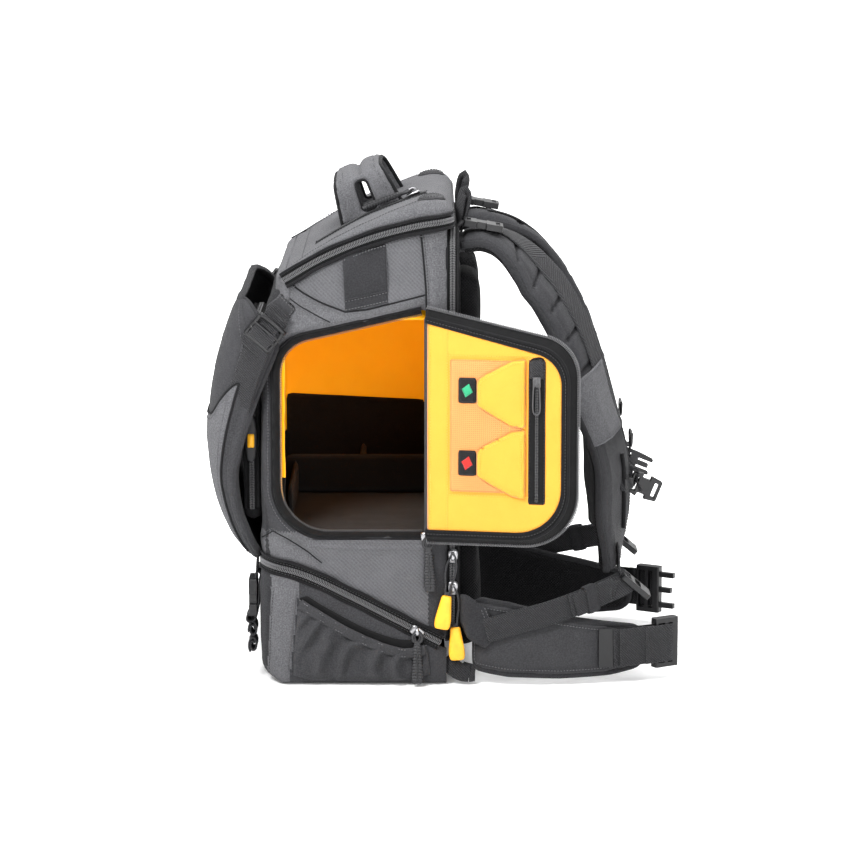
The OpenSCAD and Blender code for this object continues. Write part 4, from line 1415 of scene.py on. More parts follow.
def on_lid(pts, lift=0.0):
    """points and normals of the lid's top over plan points (x, y)"""
    x, y = pts.T
    crest = lid_crest(y)
    radius = np.minimum(LID_RADIUS, (crest - lid_base(y)) * 0.72)
    edge = np.clip((np.abs(x) - (lid_half(y) - radius)) / radius, 0, 0.98)
    z = crest - radius * (1 - np.sqrt(1 - edge ** 2)) + lid_crown(np.c_[x, y, crest])
    slope = np.interp(y, LID_CREST[:, 0], np.gradient(LID_CREST[:, 1], LID_CREST[:, 0]))
    normals = unit(np.c_[np.sign(x) * edge / np.sqrt(1 - edge ** 2 + 1e-6), -slope,
                         np.ones(len(x))])
    return np.c_[x, y, z] + normals * lift, normals


# cloth hinge across the lid's front edge
hinge_x = np.r_[np.linspace(-151, -142, 6), np.linspace(-140.5, 140.5, 60),
                np.linspace(142, 151, 6)]
wrapped = np.maximum(np.abs(hinge_x) - 140.5, 0)
bent_x = np.sign(hinge_x) * (np.minimum(np.abs(hinge_x), 140.5) + 4.0 * smooth(0, 5, wrapped))
end_lift = 5.0 * smooth(124, 140, np.abs(hinge_x)) ** 2
rows = []
for y, z in [(-80.9, 371), (-80.9, 377), (-80.7, 383), (-80.2, 389), (-79.4, 393.5),
             (-76.5, 397.2), (-71, 400.6)]:
    pts = np.c_[bent_x, y + 0.85 * wrapped, np.full(72, z)]
    rows.append(pts + np.outer(0.35 * noise(pts, 40, 2, 57) + end_lift, (0, 1, 0)))
rows = np.array(rows)
ob = mesh("lid_front_hinge_cloth",
          thick_grid(rows, grid_normals(rows, (3, 30), (0, -1, 0)), 1.3), "grey", None)
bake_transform(ob)

# oval patches at the rear corners of the lid
shapes = []
turn = np.linspace(0, 2 * PI, 40, endpoint=False)
for side in (-1, 1):
    centre = vec(side * 116, 66.5)
    oval = np.c_[side * (116 + 19 * np.cos(turn)), 66.5 + 13.5 * np.sin(turn)]

    def place(pts, height):
        base, normals = on_lid(pts)
        return base + normals * (height + 0.2)[:, None]

    shapes.append(cushion(oval, 2.6, 1.5, 0.6, 3.0, place,
                          lambda pts, _: 0.15 * noise(pts, 12, 2, 55)))
    for scale in (0.82, 0.5):
        sew("top_lid", *on_lid(centre + (oval - centre) * scale, 1.8), dark=True, closed=True)
mesh("lid_corner_patches", shapes, "smooth", "top_lid")
# seams along the lid's long edges and across its front
line_y = np.linspace(-60, 66, 120)
for offset in (13.5, 17.0):
    sew_pair("top_lid", *on_lid(np.c_[lid_half(line_y) - offset, line_y], 0.25),
             dark=offset > 15)
sew("top_lid", *on_lid(np.c_[np.linspace(-128, 128, 150), np.full(150, -56.0)], 0.25))

# zipper band of the lid: along both sides and the rear
line_y = np.linspace(-73, 72, 90)
flank = np.c_[np.full(90, 145.6), line_y, seam_z(line_y)]
turn = np.linspace(0, PI / 2, 12)[1:]
corner_y = 72 + 14.2 * np.sin(turn)
corner = np.c_[131.6 + 14 * np.cos(turn), corner_y,
               np.interp(corner_y, [72, 87], [444.7, 447.5])]
rear = np.c_[np.linspace(128, -128, 60), np.full(60, 86.2), np.full(60, 447.5)]
path = resample(np.vstack([flank, corner, rear, flip(corner)[::-1], flip(flank)[::-1]]), 1.7)
out = np.zeros((len(path), 3))
behind = path[:, 1] > 72.01
out[~behind, 0] = np.sign(path[~behind, 0])
inner = np.c_[np.clip(path[:, 0], -131.6, 131.6), np.minimum(path[:, 1], 72)]
out[behind, :2] = unit(path[:, :2] - inner)[behind]
zipper("lid_zip", "bag_body", path, out, (14.0, 1.1), (1.9, 5.2, 1.6, 1.2, 1.2),
       replaces=("lid_zipper_track",))
rise = upward(path, out)
wave = 0.3 * np.sin(arc_length(path) / 7.0)[:, None]
pipe("bag_body", path - rise * (6.8 + wave) + out * 0.9, 1.6)
pipe("top_lid", path + rise * (6.2 + wave) + out * 0.9, 1.3)
sew("top_lid", path + rise * 9.0 + out * 0.9, out)
sew("bag_body", path[:95] - rise[:95] * 10.2 + out[:95] * 2.4, out[:95])


# pocket zipper on top of the lid
def lid_line(x, start, end, lift):
    return on_lid(np.c_[np.full(80, x), np.linspace(start, end, 80)], lift)


LID_ZIP_X = 74
zipper("lid_pocket", "top_lid", *lid_line(LID_ZIP_X, 61, -42, 0.5), (13, 0.9),
       (1.9, 4.0, 1.1, 1.2, 0.7), "coil", replaces=("lid_pocket_zipper",))
for offset in (-7.6, 7.6):
    pipe("top_lid", lid_line(LID_ZIP_X + offset, 62, -44, 0.3)[0], 0.8, 6)
    sew("top_lid", *lid_line(LID_ZIP_X + offset * 1.35, 62, -44, 0.3))

# ------------------------------------------------------------------ carry handle
# arch (x, z) above the handle's foot, which lies on the sloping lid
HANDLE = spline([(61, -4), (60.3, 10), (58.5, 24), (53, 33.5), (41, 37.6), (18, 39.0),
                 (0, 39.3), (-18, 39.0), (-41, 37.6), (-53, 33.5), (-58.5, 24), (-60.3, 10),
                 (-61, -4)], 1.0)
HANDLE_FOOT = (9, 446.2)
handle_arc = arc_length(HANDLE)
handle_tangents = unit(np.gradient(HANDLE, axis=0))
HANDLE_LENGTH = handle_arc[-1]


def handle_half(along):
    end = np.minimum(along, HANDLE_LENGTH - along)
    return 30.5 - 7.4 * np.clip((end - 2) / 46.0, 0, 1)


def place_handle(pts, height):
    """pts are (distance along the arch, distance across)"""
    along, across = np.clip(pts[:, 0], 0, HANDLE_LENGTH), pts[:, 1]
    x, z, turn_x, turn_z = [np.interp(along, handle_arc, column)
                            for column in np.c_[HANDLE, handle_tangents].T]
    end = np.minimum(along, HANDLE_LENGTH - along)
    height = height + (-(across / 20.0) ** 2 * 0.5 * smooth(45, 85, end)
                       - 3.4 * bell(across, 4.6) * smooth(34, 46, end))
    rise = z - turn_x * height
    cosine, sine = math.cos(LID_SLOPE), math.sin(LID_SLOPE)
    return np.c_[x + turn_z * height, HANDLE_FOOT[0] + across * cosine - rise * sine,
                 HANDLE_FOOT[1] + across * sine + rise * cosine]


along = np.linspace(0, HANDLE_LENGTH, 70)
handle_outline = np.vstack([np.c_[along, handle_half(along)],
                            np.c_[along[::-1], -handle_half(along[::-1])]])
first, last = HANDLE_LENGTH - 36, HANDLE_LENGTH - 6
slots = [rounded([(6, -7.2), (36, -6.0), (36, 6.0), (6, 7.2)], [3, 5.4, 5.4, 3]),
         rounded([(first, -6.0), (last, -7.2), (last, 7.2), (first, 6.0)], [5.4, 3, 3, 5.4])]


def handle_relief(pts, edge):
    end = np.minimum(pts[:, 0], HANDLE_LENGTH - pts[:, 0])
    seam = -1.4 * bell(pts[:, 1], 1.8) * smooth(30, 36, end) - 1.2 * bell(edge - 6.2, 1.1)
    return seam + 0.35 * noise(pts, 14, 2, 61)


mesh("handle_pad",
     cushion(handle_outline, detail(3.2, 2.4), 4.2, 3.6, 6.5, place_handle, handle_relief,
             holes=slots, sharp=True, rim=2.4),
     "grey", "top_lid", replaces=("carry_handle",))
shapes = [tube(place_handle(np.c_[along, handle_half(along) * side], np.zeros(70)), 2.1)
          for side in (1, -1)]
for loop in slots:
    rim = resample(loop, 1.6, True)
    shapes.append(tube(place_handle(rim, np.zeros(len(rim))), 1.5, closed=True))
mesh("handle_binding", shapes, "piping", "top_lid")
for side in (1, -1):
    for inset, lift in ((6.2, 3.0), (8.6, 3.9)):
        line = np.c_[along, (handle_half(along) - inset) * side]
        base = place_handle(line, np.full(70, lift))
        sew("top_lid", base, place_handle(line, np.full(70, 5.4)) - base, dark=inset < 7)

# ------------------------------------------------------------------ front flap
# y of the flap's front face and of its rear edge, each as (y, z)
flap_front = lookup(spline([(-106, 119), (-125, 152), (-139, 196), (-144.5, 241), (-141, 288),
                            (-131, 332), (-117, 370)], 2), given=1)
flap_rear = lookup(spline([(-101, 119), (-105, 128), (-118, 165), (-122, 200), (-116, 228),
                           (-97, 284), (-81, 323), (-82, 333), (-104, 366), (-112, 371)],
                          1.5), given=1)
FLAP_HALF, FLAP_CORNER = 154.0, 32.0
FLAP_SIDE_COUNT, FLAP_FRONT_COUNT = 26, 44


def flap_plan(z):
    """plan of the flap at a height, from the right edge round the front to the left"""
    front, rear = float(flap_front(z)), float(flap_rear(z))
    deep = max(rear - front, 1.0)
    turn = math.acos(max(-1, 1 - deep / FLAP_CORNER)) if deep < FLAP_CORNER else PI / 2
    arc = FLAP_CORNER * turn
    length = arc + max(0, deep - FLAP_CORNER)
    inner = FLAP_HALF - FLAP_CORNER
    flank = []
    for k in range(FLAP_SIDE_COUNT):
        distance = length * (1 - k / (FLAP_SIDE_COUNT - 1))
        if distance > arc:
            flank.append((FLAP_HALF, front + FLAP_CORNER + (distance - arc)))
        else:
            angle = distance / FLAP_CORNER
            flank.append((inner + FLAP_CORNER * math.sin(angle),
                          front + FLAP_CORNER - FLAP_CORNER * math.cos(angle)))
    face = [(inner * (1 - 2 * k / (FLAP_FRONT_COUNT + 1)), front)
            for k in range(1, FLAP_FRONT_COUNT + 1)]
    return np.vstack([flank, face, np.array(flank)[::-1] * vec(-1, 1)])


flap_levels = np.concatenate([np.linspace(119.5, 130, 5),
                              np.linspace(133, 360, detail(62, 84)),
                              np.linspace(362, 370.5, 5)])
rows = []
for z in flap_levels:
    x, y = flap_plan(z).T
    # the flap narrows at its rounded lower and upper corners
    inset = 0.0
    if z < 150:
        inset = 26 * (1 - math.sqrt(max(0, 1 - ((150 - z) / 31.0) ** 2)))
    if z > 345:
        inset = 22 * (1 - math.sqrt(max(0, 1 - ((z - 345) / 27.0) ** 2)))
    rows.append(np.c_[x * (FLAP_HALF - inset) / FLAP_HALF, y, np.full(len(x), z)])
rows = np.array(rows)
flap_out = grid_normals(rows, (len(flap_levels) // 2, 50), (0, -1, 0))
row_count, columns = rows.shape[:2]
flat = rows.reshape(-1, 3)
part = np.repeat(np.linspace(0, 1, row_count), columns)
across = np.tile(np.linspace(0, 1, columns), row_count)
edge = np.minimum(across, 1 - across) * 2
height = (1.8 * arch(part) ** 0.6 * smooth(0, 0.25, edge) + 1.1 * noise(flat, 60, 3, 71)
          + 0.25 * noise(flat, 12, 2, 72))
# a seam follows the flap's edge
height = height - 1.7 * bell(edge * 170 - 17, 2.2) * smooth(0.02, 0.08, part) * smooth(
    0.98, 0.9, part)
height = height - 2.0 * bell(edge * 170, 4.0)
flap_face = rows + flap_out * height.reshape(row_count, columns, 1)
flap = mesh("flap_shell", thick_grid(flap_face, flap_out, 5.6), "charcoal", "front_flap",
            replaces=("flap_panel",))
split_material(flap, [
    ("charcoal_d", lambda x, y, z: (y > flap_front(z) + 3.2) & (np.abs(x) < 121))])


def grid_rim(grid):
    return np.vstack([grid[:, 0], grid[-1, 1:-1], grid[::-1, -1], grid[0, ::-1][1:-1]])


rim_out = grid_rim(flap_out)
path, out = resample(grid_rim(flap_face) - rim_out * 2.8, 2.2, True, normals=rim_out)
mesh("flap_binding", sweep(path, binding_profile(2.8, 2.2, 3.4), out, True), "binding",
     "front_flap")
for column, dark in ((8, True), (11, False)):
    for j in (column, columns - 1 - column):
        out = flap_out[2:-2, j]
        sew("front_flap", flap_face[2:-2, j] + out * 0.3, out, dark)

# lighter overlay on the front of the flap, between two parts of its width
OVERLAY_START, OVERLAY_END, OVERLAY_LOW = 0.085, 0.915, 128
across = np.linspace(OVERLAY_START, OVERLAY_END, 90)
overlay_top = 262 + 32 * smooth(0.2, OVERLAY_START, np.minimum(across, 1 - across))
column_at = across * (columns - 1)
j = np.minimum(column_at.astype(int), columns - 2)
over, over_out = [], []
for layer in range(50):
    rise = layer / 49
    z = OVERLAY_LOW + (overlay_top - OVERLAY_LOW) * layer / 49
    row_at = np.interp(z, flap_levels, np.arange(row_count))
    i = np.minimum(row_at.astype(int), row_count - 2)
    part_j, part_i = (column_at - j)[:, None], (row_at - i)[:, None]
    base, out = [(grid[i, j] * (1 - part_j) + grid[i, j + 1] * part_j) * (1 - part_i)
                 + (grid[i + 1, j] * (1 - part_j) + grid[i + 1, j + 1] * part_j) * part_i
                 for grid in (flap_face, flap_out)]
    out = unit(out)
    span = (across - OVERLAY_START) / (OVERLAY_END - OVERLAY_START)
    bulge = 1.6 * arch(rise) ** 0.5 * arch(span) ** 0.4
    over.append(base + out * (0.8 + bulge)[:, None])
    over_out.append(out)
over, over_out = np.array(over), np.array(over_out)
mesh("flap_overlay", thick_grid(over, over_out, 1.4), "grey", "front_flap")
rim = np.vstack([over[:, 0], over[-1, 1:-1], over[::-1, -1]])
pipe("front_flap", resample(rim, 2.0), 1.2, 7)
base, out = [np.vstack([grid[2:-2, 3], grid[-3, 4:-4], grid[2:-2, -4][::-1]])
             for grid in (over, over_out)]
sew("front_flap", base, out, lift=0.3)

# flap straps: webbing over the wing up to the ladder lock, and from there to the anchor patch
shapes = []
for side in (-1, 1):
    shapes.append(ribbon([(150.5, -117, 268), (153.5, -114, 280), (156.3, -108, 300),
                          (157.3, -101, 318), (158.2, -96, 331), (160.8, -92, 338.5),
                          (162.4, -89.5, 343), (160.6, -86, 347), (158.6, -89, 341),
                          (157.2, -95, 329)], 1.8, (1, -0.2, 0), 24, 1.6, side))
    shapes.append(ribbon([(158.4, -93, 339), (160.9, -88, 347.5), (159.0, -82.5, 353),
                          (153.5, -78.5, 358), (150.8, -74, 363)],
                         1.6, (1, -0.2, 0), 22, 1.6, side))
mesh("flap_strap_webbing", shapes, "webbing", "front_flap", replaces=("flap_straps",))


# ------------------------------------------------------------------ front pocket
def place_front_pocket(pts, height):
    lean = np.interp(pts[:, 1], [150, 300, 336], [0, 0, 3.0])
    return np.c_[pts[:, 0], -104.6 - height + lean, pts[:, 1]]


mesh("front_pocket_pad",
     cushion(rounded(box(-118, 118, 153, 334), 18, 8), 5.0, 8.8, 7.6, 7.0, place_front_pocket,
             lambda pts, edge: 0.9 * noise(pts, 46, 3, 81) - 1.2 * bell(edge - 26, 2.0),
             power=4.5),
     "charcoal_d", "bag_body", replaces=("front_pocket",))


def upright_path(line, y, half, low, high):
    """(x, z) line at a depth, and its normals away from an inner rectangle"""
    inner = np.c_[np.clip(line[:, 0], -half, half), np.clip(line[:, 1], low, high)]
    out = unit(line - inner)
    return (np.c_[line[:, 0], np.full(len(line), y), line[:, 1]],
            np.c_[out[:, 0], np.zeros(len(line)), out[:, 1]])


# the zipper runs round the pocket but not along its foot
line = resample(rounded(box(-119, 119, 152, 335), 19, 10), 1.8, True)
line = np.roll(line, -np.argmin(np.hypot(line[:, 0], line[:, 1] - 152)), 0)
path, out = upright_path(line[line[:, 1] > 166], -105.2, 100, 171, 316)
zipper("front_pocket", "bag_body", path, out, (12, 1.0), (2.0, 4.8, 1.4, 1.25, 0.5), sink=0.6)
across = frames(path, out)[2]
for offset in (-6.4, 6.4):
    pipe("bag_body", path + across * offset, 1.2, 7)

# ------------------------------------------------------------------ sewn tabs, anchor patches
# corners (y, z) of the loop tab: top front, top rear, low rear, low front
TAB = np.array([(-16.5, 416), (23.5, 424.5), (25.5, 370), (-14.5, 361)])


def on_tab(across, down):
    across, down = across[:, None], down[:, None]
    return ((TAB[0] * (1 - across) + TAB[1] * across) * (1 - down)
            + (TAB[3] * (1 - across) + TAB[2] * across) * down)


across, down = [grid.ravel() for grid in np.meshgrid(np.linspace(0, 1, 22),
                                                     np.linspace(0, 1, 40))]
fold = np.where(down < 0.8, 0.6 + 3.4 * arch((down - 0.02) / 0.8) ** 0.8, 0.6)
fold = fold + 0.5 * np.sin(across * 5 + down * 4) * arch(down / 0.8)
base, out = on_shell(on_tab(across, down))
base = base + out * (fold + 0.6)[:, None]
mesh("side_loop_tabs", pair(thick_grid(base.reshape(40, 22, 3), out.reshape(40, 22, 3), 1.3)),
     "charcoal_d", "bag_body", replaces=("sewn_tabs",))
for down in (0.83, 0.97, 0.03):
    line = on_tab(np.linspace(0.03, 0.97, 30), np.full(30, down))
    sew_pair("bag_body", *on_shell(line, 1.7))
base, out = on_shell(on_tab(np.linspace(0.0, 1.0, 20), np.full(20, 0.8)), 1.6)
mesh("side_tab_fold", pair(sweep(base, circle(0.9, 6), out)), "charcoal_d", "bag_body")
PATCH = np.array([(-84, 378), (-63, 363.5), (-79, 342.5), (-91, 350.5), (-96, 364)], float)


def place_patch(pts, height):
    base, normals = on_shell(pts)
    return base + normals * (height + 0.5)[:, None]


mesh("anchor_patches", pair(cushion(rounded(PATCH, 1.5, 3), 2.2, 1.3, 0.8, 1.6, place_patch)),
     "smooth", "bag_body")
line = resample(PATCH * 0.86 + PATCH.mean(0) * 0.14, 1.5, True)
sew_pair("bag_body", *on_shell(line, 1.9), closed=True)

# ------------------------------------------------------------------ side door
# built closed, then swung open about its upright hinge
HINGE_X, HINGE_Y, OPEN = 152.3, 61.0, math.radians(170)
LINING_X = 137.9


def swing_vectors(vectors):
    x, y, z = np.atleast_2d(np.asarray(vectors, float)).T
    cosine, sine = math.cos(OPEN), math.sin(OPEN)
    return np.c_[x * cosine - y * sine, x * sine + y * cosine, z]


def swing(pts):
    hinge = vec(HINGE_X, HINGE_Y, 0)
    return swing_vectors(pts - hinge) + hinge


INWARD = swing_vectors([-1, 0, 0])[0]  # the way the lining of the open door faces


mesh("door_outer_pad",
     cushion(door_shape(0.6), detail(4.0, 3.2), 3.0, 3.0, 5.0,
             lambda pts, height: swing(np.c_[142.2 + height, pts]),
             lambda pts, _: 1.2 * noise(pts, 50, 3, 101) + 0.2 * noise(pts, 10, 2, 102)),
     "charcoal", "side_door", replaces=("door_panel",))


def lining_relief(pts, _=None):
    y, z = pts[:, 0], pts[:, 1]
    height = 0.7 * noise(pts, 42, 3, 103) + 0.25 * noise(pts, 15, 2, 104)
    # drawn lines at the front edge and at the hinge
    drawn = np.sin((y * 0.8 + z * 0.5) / 6.0 + 1.5 * noise(pts, 30, 2, 105))
    height = height + 0.5 * drawn * smooth(-40, -62, y)
    drawn = np.sin((z + 0.2 * y) / 12.0 + 1.2 * noise(pts, 40, 2, 106))
    height = height + 0.55 * drawn * smooth(38, 56, y)
    for line in ([(36.5, 152), (36.5, 349)], [(36.5, 322), (-62, 322)],
                 [(36.5, 192), (-60, 192)]):
        height = height + groove(pts, line, 1.3, 0.9)
    return height


mesh("door_lining_cloth",
     cushion(door_shape(-3.0), detail(3.6, 2.6), 1.9, 1.6, 3.5,
             lambda pts, height: swing(np.c_[LINING_X - height, pts]), lining_relief),
     "yellow", "side_door", replaces=("door_lining",))


def on_lining(pts, lift=0.0):
    """points above the face of the door's lining, for (y, z) points"""
    pts = np.asarray(pts, float)
    part = np.clip(line_distance(pts, door_shape(-3.0), True) / 3.5, 0, 1)
    height = (1.9 * np.sqrt(1 - (1 - part) ** 2)
              + lining_relief(pts) * np.minimum(1, part * 1.2))
    return swing(np.c_[LINING_X - height, pts]) + INWARD * np.reshape(lift, (-1, 1))


YELLOW_STITCH = dict(pitch=2.6, length=1.7, radius=0.35)
yellow_stitching = []
for line in ([(37.6, 153), (37.6, 352)], [(35, 323.4), (-60, 323.4)],
             [(35, 190.6), (-58, 190.6)]):
    yellow_stitching.append(stitches(on_lining(resample(line, 1.2), 0.15), INWARD,
                                     **YELLOW_STITCH))
line = resample(door_shape(-6.2), 1.2, True)
line = line[line[:, 0] < 56]
gap = np.argmax(np.linalg.norm(np.diff(line, axis=0), axis=1))
line = np.roll(line, -(gap + 1), 0)
yellow_stitching.append(stitches(on_lining(line, 0.1), INWARD, pitch=2.8, length=1.8,
                                 radius=0.35))

# Section of the black binding and zipper flange round three sides of the door:
# (margin outside the opening, x, ripple), over the inner face and back over the outer one.
DOOR_EDGE = [(-5.4, 137.6, 0), (-4.4, 134.9, 0), (-1.5, 134.3, 1), (1.2, 136.4, 1),
             (4.5, 141.5, 1), (8.6, 146.6, 0), (9.2, 147.4, 0), (9.2, 148.8, 0),
             (8.6, 149.6, 0), (4.5, 149.4, 0), (1.2, 147.4, 0), (-1.5, 146.4, 0),
             (-4.4, 145.6, 0), (-5.4, 144.6, 0)]
EDGE_COUNT = 300
edge_paths = {grow: resample(opening_path(grow, 58.5), 1, count=EDGE_COUNT)
              for grow, _, _ in DOOR_EDGE}
arc = arc_length(edge_paths[1.2])
ripple = 0.35 * np.sin(arc / 4.1 + np.sin(arc / 19.0))
section = np.vstack([np.c_[x + rippled * ripple, edge_paths[grow]]
                     for grow, x, rippled in DOOR_EDGE])
faces = [(first, last, third, second) for first, second, third, last
         in grid_faces(len(DOOR_EDGE), EDGE_COUNT, wrap_rows=True)]
faces.append(tuple(range(0, len(section), EDGE_COUNT)))
faces.append(tuple(range(EDGE_COUNT - 1, len(section), EDGE_COUNT))[::-1])
mesh("door_binding", (swing(section), faces), "tape", "side_door")
# rolled edges between the yellow cloth and the tape
mesh("door_piping",
     [sweep(swing(np.c_[136.2 + ripple, edge_paths[1.2]]), circle(1.5, 8), INWARD),
      sweep(swing(np.c_[np.full(EDGE_COUNT, 135.2), edge_paths[-4.4]]), circle(1.0, 7),
            INWARD)], "piping", "side_door")
sew("side_door", swing(np.c_[134.0 + ripple, edge_paths[-1.5]]), INWARD, dark=True)
# coil at the flange's edge
path = edge_paths[8.6]
tangents = unit(np.gradient(path, axis=0))
out = np.c_[tangents[:, 1], -tangents[:, 0]]
out *= np.sign(np.sum(out * (path - vec(0, 250)), 1))[:, None]
out = np.c_[np.full(EDGE_COUNT, -0.75), out * 0.66]
path = swing(np.c_[np.full(EDGE_COUNT, 147.4), path] + out)
mesh("door_zip_coil", teeth(path, swing_vectors(out), 2.0, 3.6, 1.5, 1.2, lift=0.2), "coil_l",
     "side_door")

# mesh pocket
POCKET = rounded([(35, 194), (35, 320), (-34, 320), (-34, 194)], 2, 3)


def mesh_height(pts, _=None):
    edge = line_distance(pts, POCKET, True)
    return 0.9 + 1.4 * smooth(0, 22, edge) + 0.5 * noise(pts, 24, 2, 111) * smooth(0, 8, edge)


mesh("door_mesh_cloth", sheet(POCKET, 3.0, on_lining, 0.7, mesh_height), "ymesh", "side_door",
     replaces=("door_mesh_pocket",))
yellow_stitching.append(stitches(on_lining(resample(POCKET, 1.2, True), 1.5), INWARD,
                                 closed=True, **YELLOW_STITCH))
# upright stitch lines: y, low z, high z
for y, low, high in ((-22, 194, 213), (-22, 235, 280), (-22, 302, 320), (-14, 194, 206),
                     (-14, 247, 268), (-14, 312, 320)):
    line = resample([(y, low), (y, high)], 1.2)
    yellow_stitching.append(stitches(on_lining(line, mesh_height(line) + 0.4), INWARD,
                                     **YELLOW_STITCH))


def card_flap(name, middle, tag_z, mark):
    """pointed flap on the mesh pocket, with a tag that bears a diamond mark"""
    body = f"card_flap_{name}_body"

    def symmetric(half, radii):
        corners = [(y, middle + z) for y, z in half]
        corners += [(y, middle - z) for y, z in half[::-1]]
        return rounded(corners, radii + radii[::-1], 5)

    outline = symmetric([(-37, 33), (-24, 31), (1, 17.5), (9, 12)], [1, 6, 10, 6])
    # the outline starts at the top, like its stitch line
    mesh(f"card_flap_cloth_{name}",
         cushion(outline, 2.4, 1.0, 0.9, 1.6,
                 lambda pts, height: on_lining(pts, mesh_height(pts) + 1.6 + height),
                 lambda pts, edge: 0.35 * noise(pts, 20, 2, 121) - 0.35 * bell(edge - 3.4, 0.8)),
         "yellow", body, replaces=(f"card_flap_{name}",))
    line = resample(symmetric([(-33, 29.6), (-23.5, 27.4), (-0.5, 14.6), (5.6, 10)],
                              [1, 6, 9, 5]), 1.2, True)
    mesh(f"card_flap_stitch_{name}",
         stitches(on_lining(line, mesh_height(line) + 2.75), INWARD, pitch=2.5, length=1.6,
                  radius=0.32, closed=True), "ystitch", body)

    def place_tag(pts, height):
        """the tag is flat, at the height of the pocket under its middle"""
        centre = np.tile(vec(18, tag_z), (len(pts), 1))
        zero = np.zeros(len(pts))
        return (on_lining(centre) - swing(np.c_[zero, centre]) + swing(np.c_[zero, pts])
                + INWARD * (mesh_height(centre) + 1.1 + height)[:, None])

    tag = rounded(box(9.5, 26.5, tag_z - 12, tag_z + 12), 1, 2)
    mesh(f"card_tag_cloth_{name}", cushion(tag, 3.0, 0.8, 0.5, 1.0, place_tag), "tag", body,
         replaces=(f"card_tag_{name}",))
    turn = np.array([[0.97, 0.25], [-0.25, 0.97]])
    diamond = vec(18, tag_z) + np.array([(5.6, 0), (0, 6.8), (-5.6, 0), (0, -6.8)]) @ turn
    mesh(f"card_tag_mark_{name}",
         cushion(diamond, 1.6, 0.35, 0.2, 0.5,
                 lambda pts, height: place_tag(pts, height + 0.95), sharp=True),
         mark, body)
    line = resample(rounded(box(10.8, 25.2, tag_z - 10.7, tag_z + 10.7), 0.8, 2), 1.0, True)
    mesh(f"card_tag_stitch_{name}",
         stitches(place_tag(line, np.full(len(line), 0.85)), INWARD, pitch=2.4, length=1.5,
                  radius=0.25, closed=True), "stitch_d", body)


card_flap("upper", 289, 291, "green")
card_flap("lower", 222, 222, "red")
mesh("door_yellow_stitching", yellow_stitching, "ystitch", "side_door")

# upright pocket zipper
ZIP_Y = -47.5
mesh("door_pocket_tape",
     cushion(rounded([(-39.5, 184), (-39.5, 322), (-55.5, 325), (-55.5, 184)], [1, 6, 6, 1]),
             2.6, 1.1, 0.5, 1.6, lambda pts, height: on_lining(pts, height + 0.4),
             lambda pts, _: (-0.5 * bell(np.abs(pts[:, 0] - ZIP_Y) - 3.2, 0.8)
                             + 0.15 * noise(pts, 9, 2, 131))),
     "tape", "side_door", replaces=("door_pocket_zipper",))
line = np.c_[np.full(80, ZIP_Y), np.linspace(187, 303, 80)]
mesh("door_pocket_coil", teeth(on_lining(line, 1.3), INWARD, 1.8, 3.0, 0.9, 1.1, lift=0.3),
     "coil", "side_door")
mesh("door_pocket_zip_cap",
     cushion(rounded([(-40, 303), (-40, 321), (-55, 323), (-55, 303)], [1, 5, 5, 1], 5), 2.2,
             1.2, 0.3, 1.6, lambda pts, height: on_lining(pts, height + 1.3)),
     "webbing", "side_door")
for offset in (-7.2, 7.2):
    line = np.c_[np.full(80, ZIP_Y + offset), np.linspace(186, 320, 80)]
    sew("side_door", on_lining(line, 1.5), INWARD, dark=True)
# slim wire pull
head = on_lining([(ZIP_Y, 300.5)])[0]
rise, across = vec(0, 0, 1), swing_vectors([0, 1, 0])[0]
wire = spline([(0, -1.6), (2.6, -4.5), (3.2, -14), (3.4, -25), (2.2, -29.5), (0, -30.8),
               (-2.2, -29.5), (-3.4, -25), (-3.2, -14), (-2.6, -4.5)], 1.0, True)
axes = [across, rise, INWARD]
mesh("door_pocket_wire_pull",
     [block(head + INWARD * 3.0, axes, (7.6, 9.5, 3.0), 0.3),
      block(head + INWARD * 5.2 + rise * 1.0, axes, (2.6, 6.0, 1.6), 0.3),
      tube(head + INWARD * 4.8 + across * wire[:, :1] + rise * wire[:, 1:]
           + INWARD * (wire[:, 1:] * 0.02), 0.75, closed=True)],
     "plastic_g", "door_pocket_slider", replaces=("door_pocket_pull",))

# cloth hinge: joins the rear edge of the opening to the door's edge
profile = resample(spline([(145.2, 64.5), (147.5, 62.6), (150.6, 61.4), (152.8, 61.3),
                           (155.0, 61.8), (157.6, 63.0), (160.3, 64.9)], 1.0), 1.2)
count = len(profile)
rows = []
for z in np.linspace(151.5, 356, 70):
    wave = 0.5 * math.sin(z / 7.0) + 0.3 * math.sin(z / 3.3 + 1)
    rows.append(np.c_[profile[:, 0], profile[:, 1] + wave * np.sin(np.linspace(0, PI, count)),
                      np.full(count, z)])
rows = np.array(rows)
HINGE_FACE = (0.2, -1, 0)
hinge = mesh("door_hinge_cloth",
             thick_grid(rows, grid_normals(rows, (30, 4), HINGE_FACE), 1.1),
             "yellow", None)
# the layer that faces the rear is dark like the door's binding
hinge.data.materials.append(MATERIALS["binding"])
faces_front = face_values(hinge.data, "normal") @ vec(*HINGE_FACE) > 0
hinge.data.polygons.foreach_set("material_index", np.where(faces_front, 0, 1).astype(np.int32))
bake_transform(hinge)

# ------------------------------------------------------------------ back panel
back_outline = rounded(box(-137, 137, 12, 432), [12, 12, 30, 30], 8)
mesh("back_cloth",
     cushion(back_outline, detail(7.0, 6.0), 2.6, 3.2, 5.0,
             lambda pts, height: np.c_[pts[:, 0], 87.2 + height, pts[:, 1]],
             lambda pts, _: 0.8 * noise(pts, 60, 3, 141)),
     "board", "back_panel", replaces=("back_board",))


def pipe_outline(outline, y, radius):
    line = resample(outline, 2.4, True)
    pipe("back_panel", np.c_[line[:, 0], np.full(len(line), y), line[:, 1]], radius, 8, True)


pipe_outline(back_outline, 88.4, 1.9)
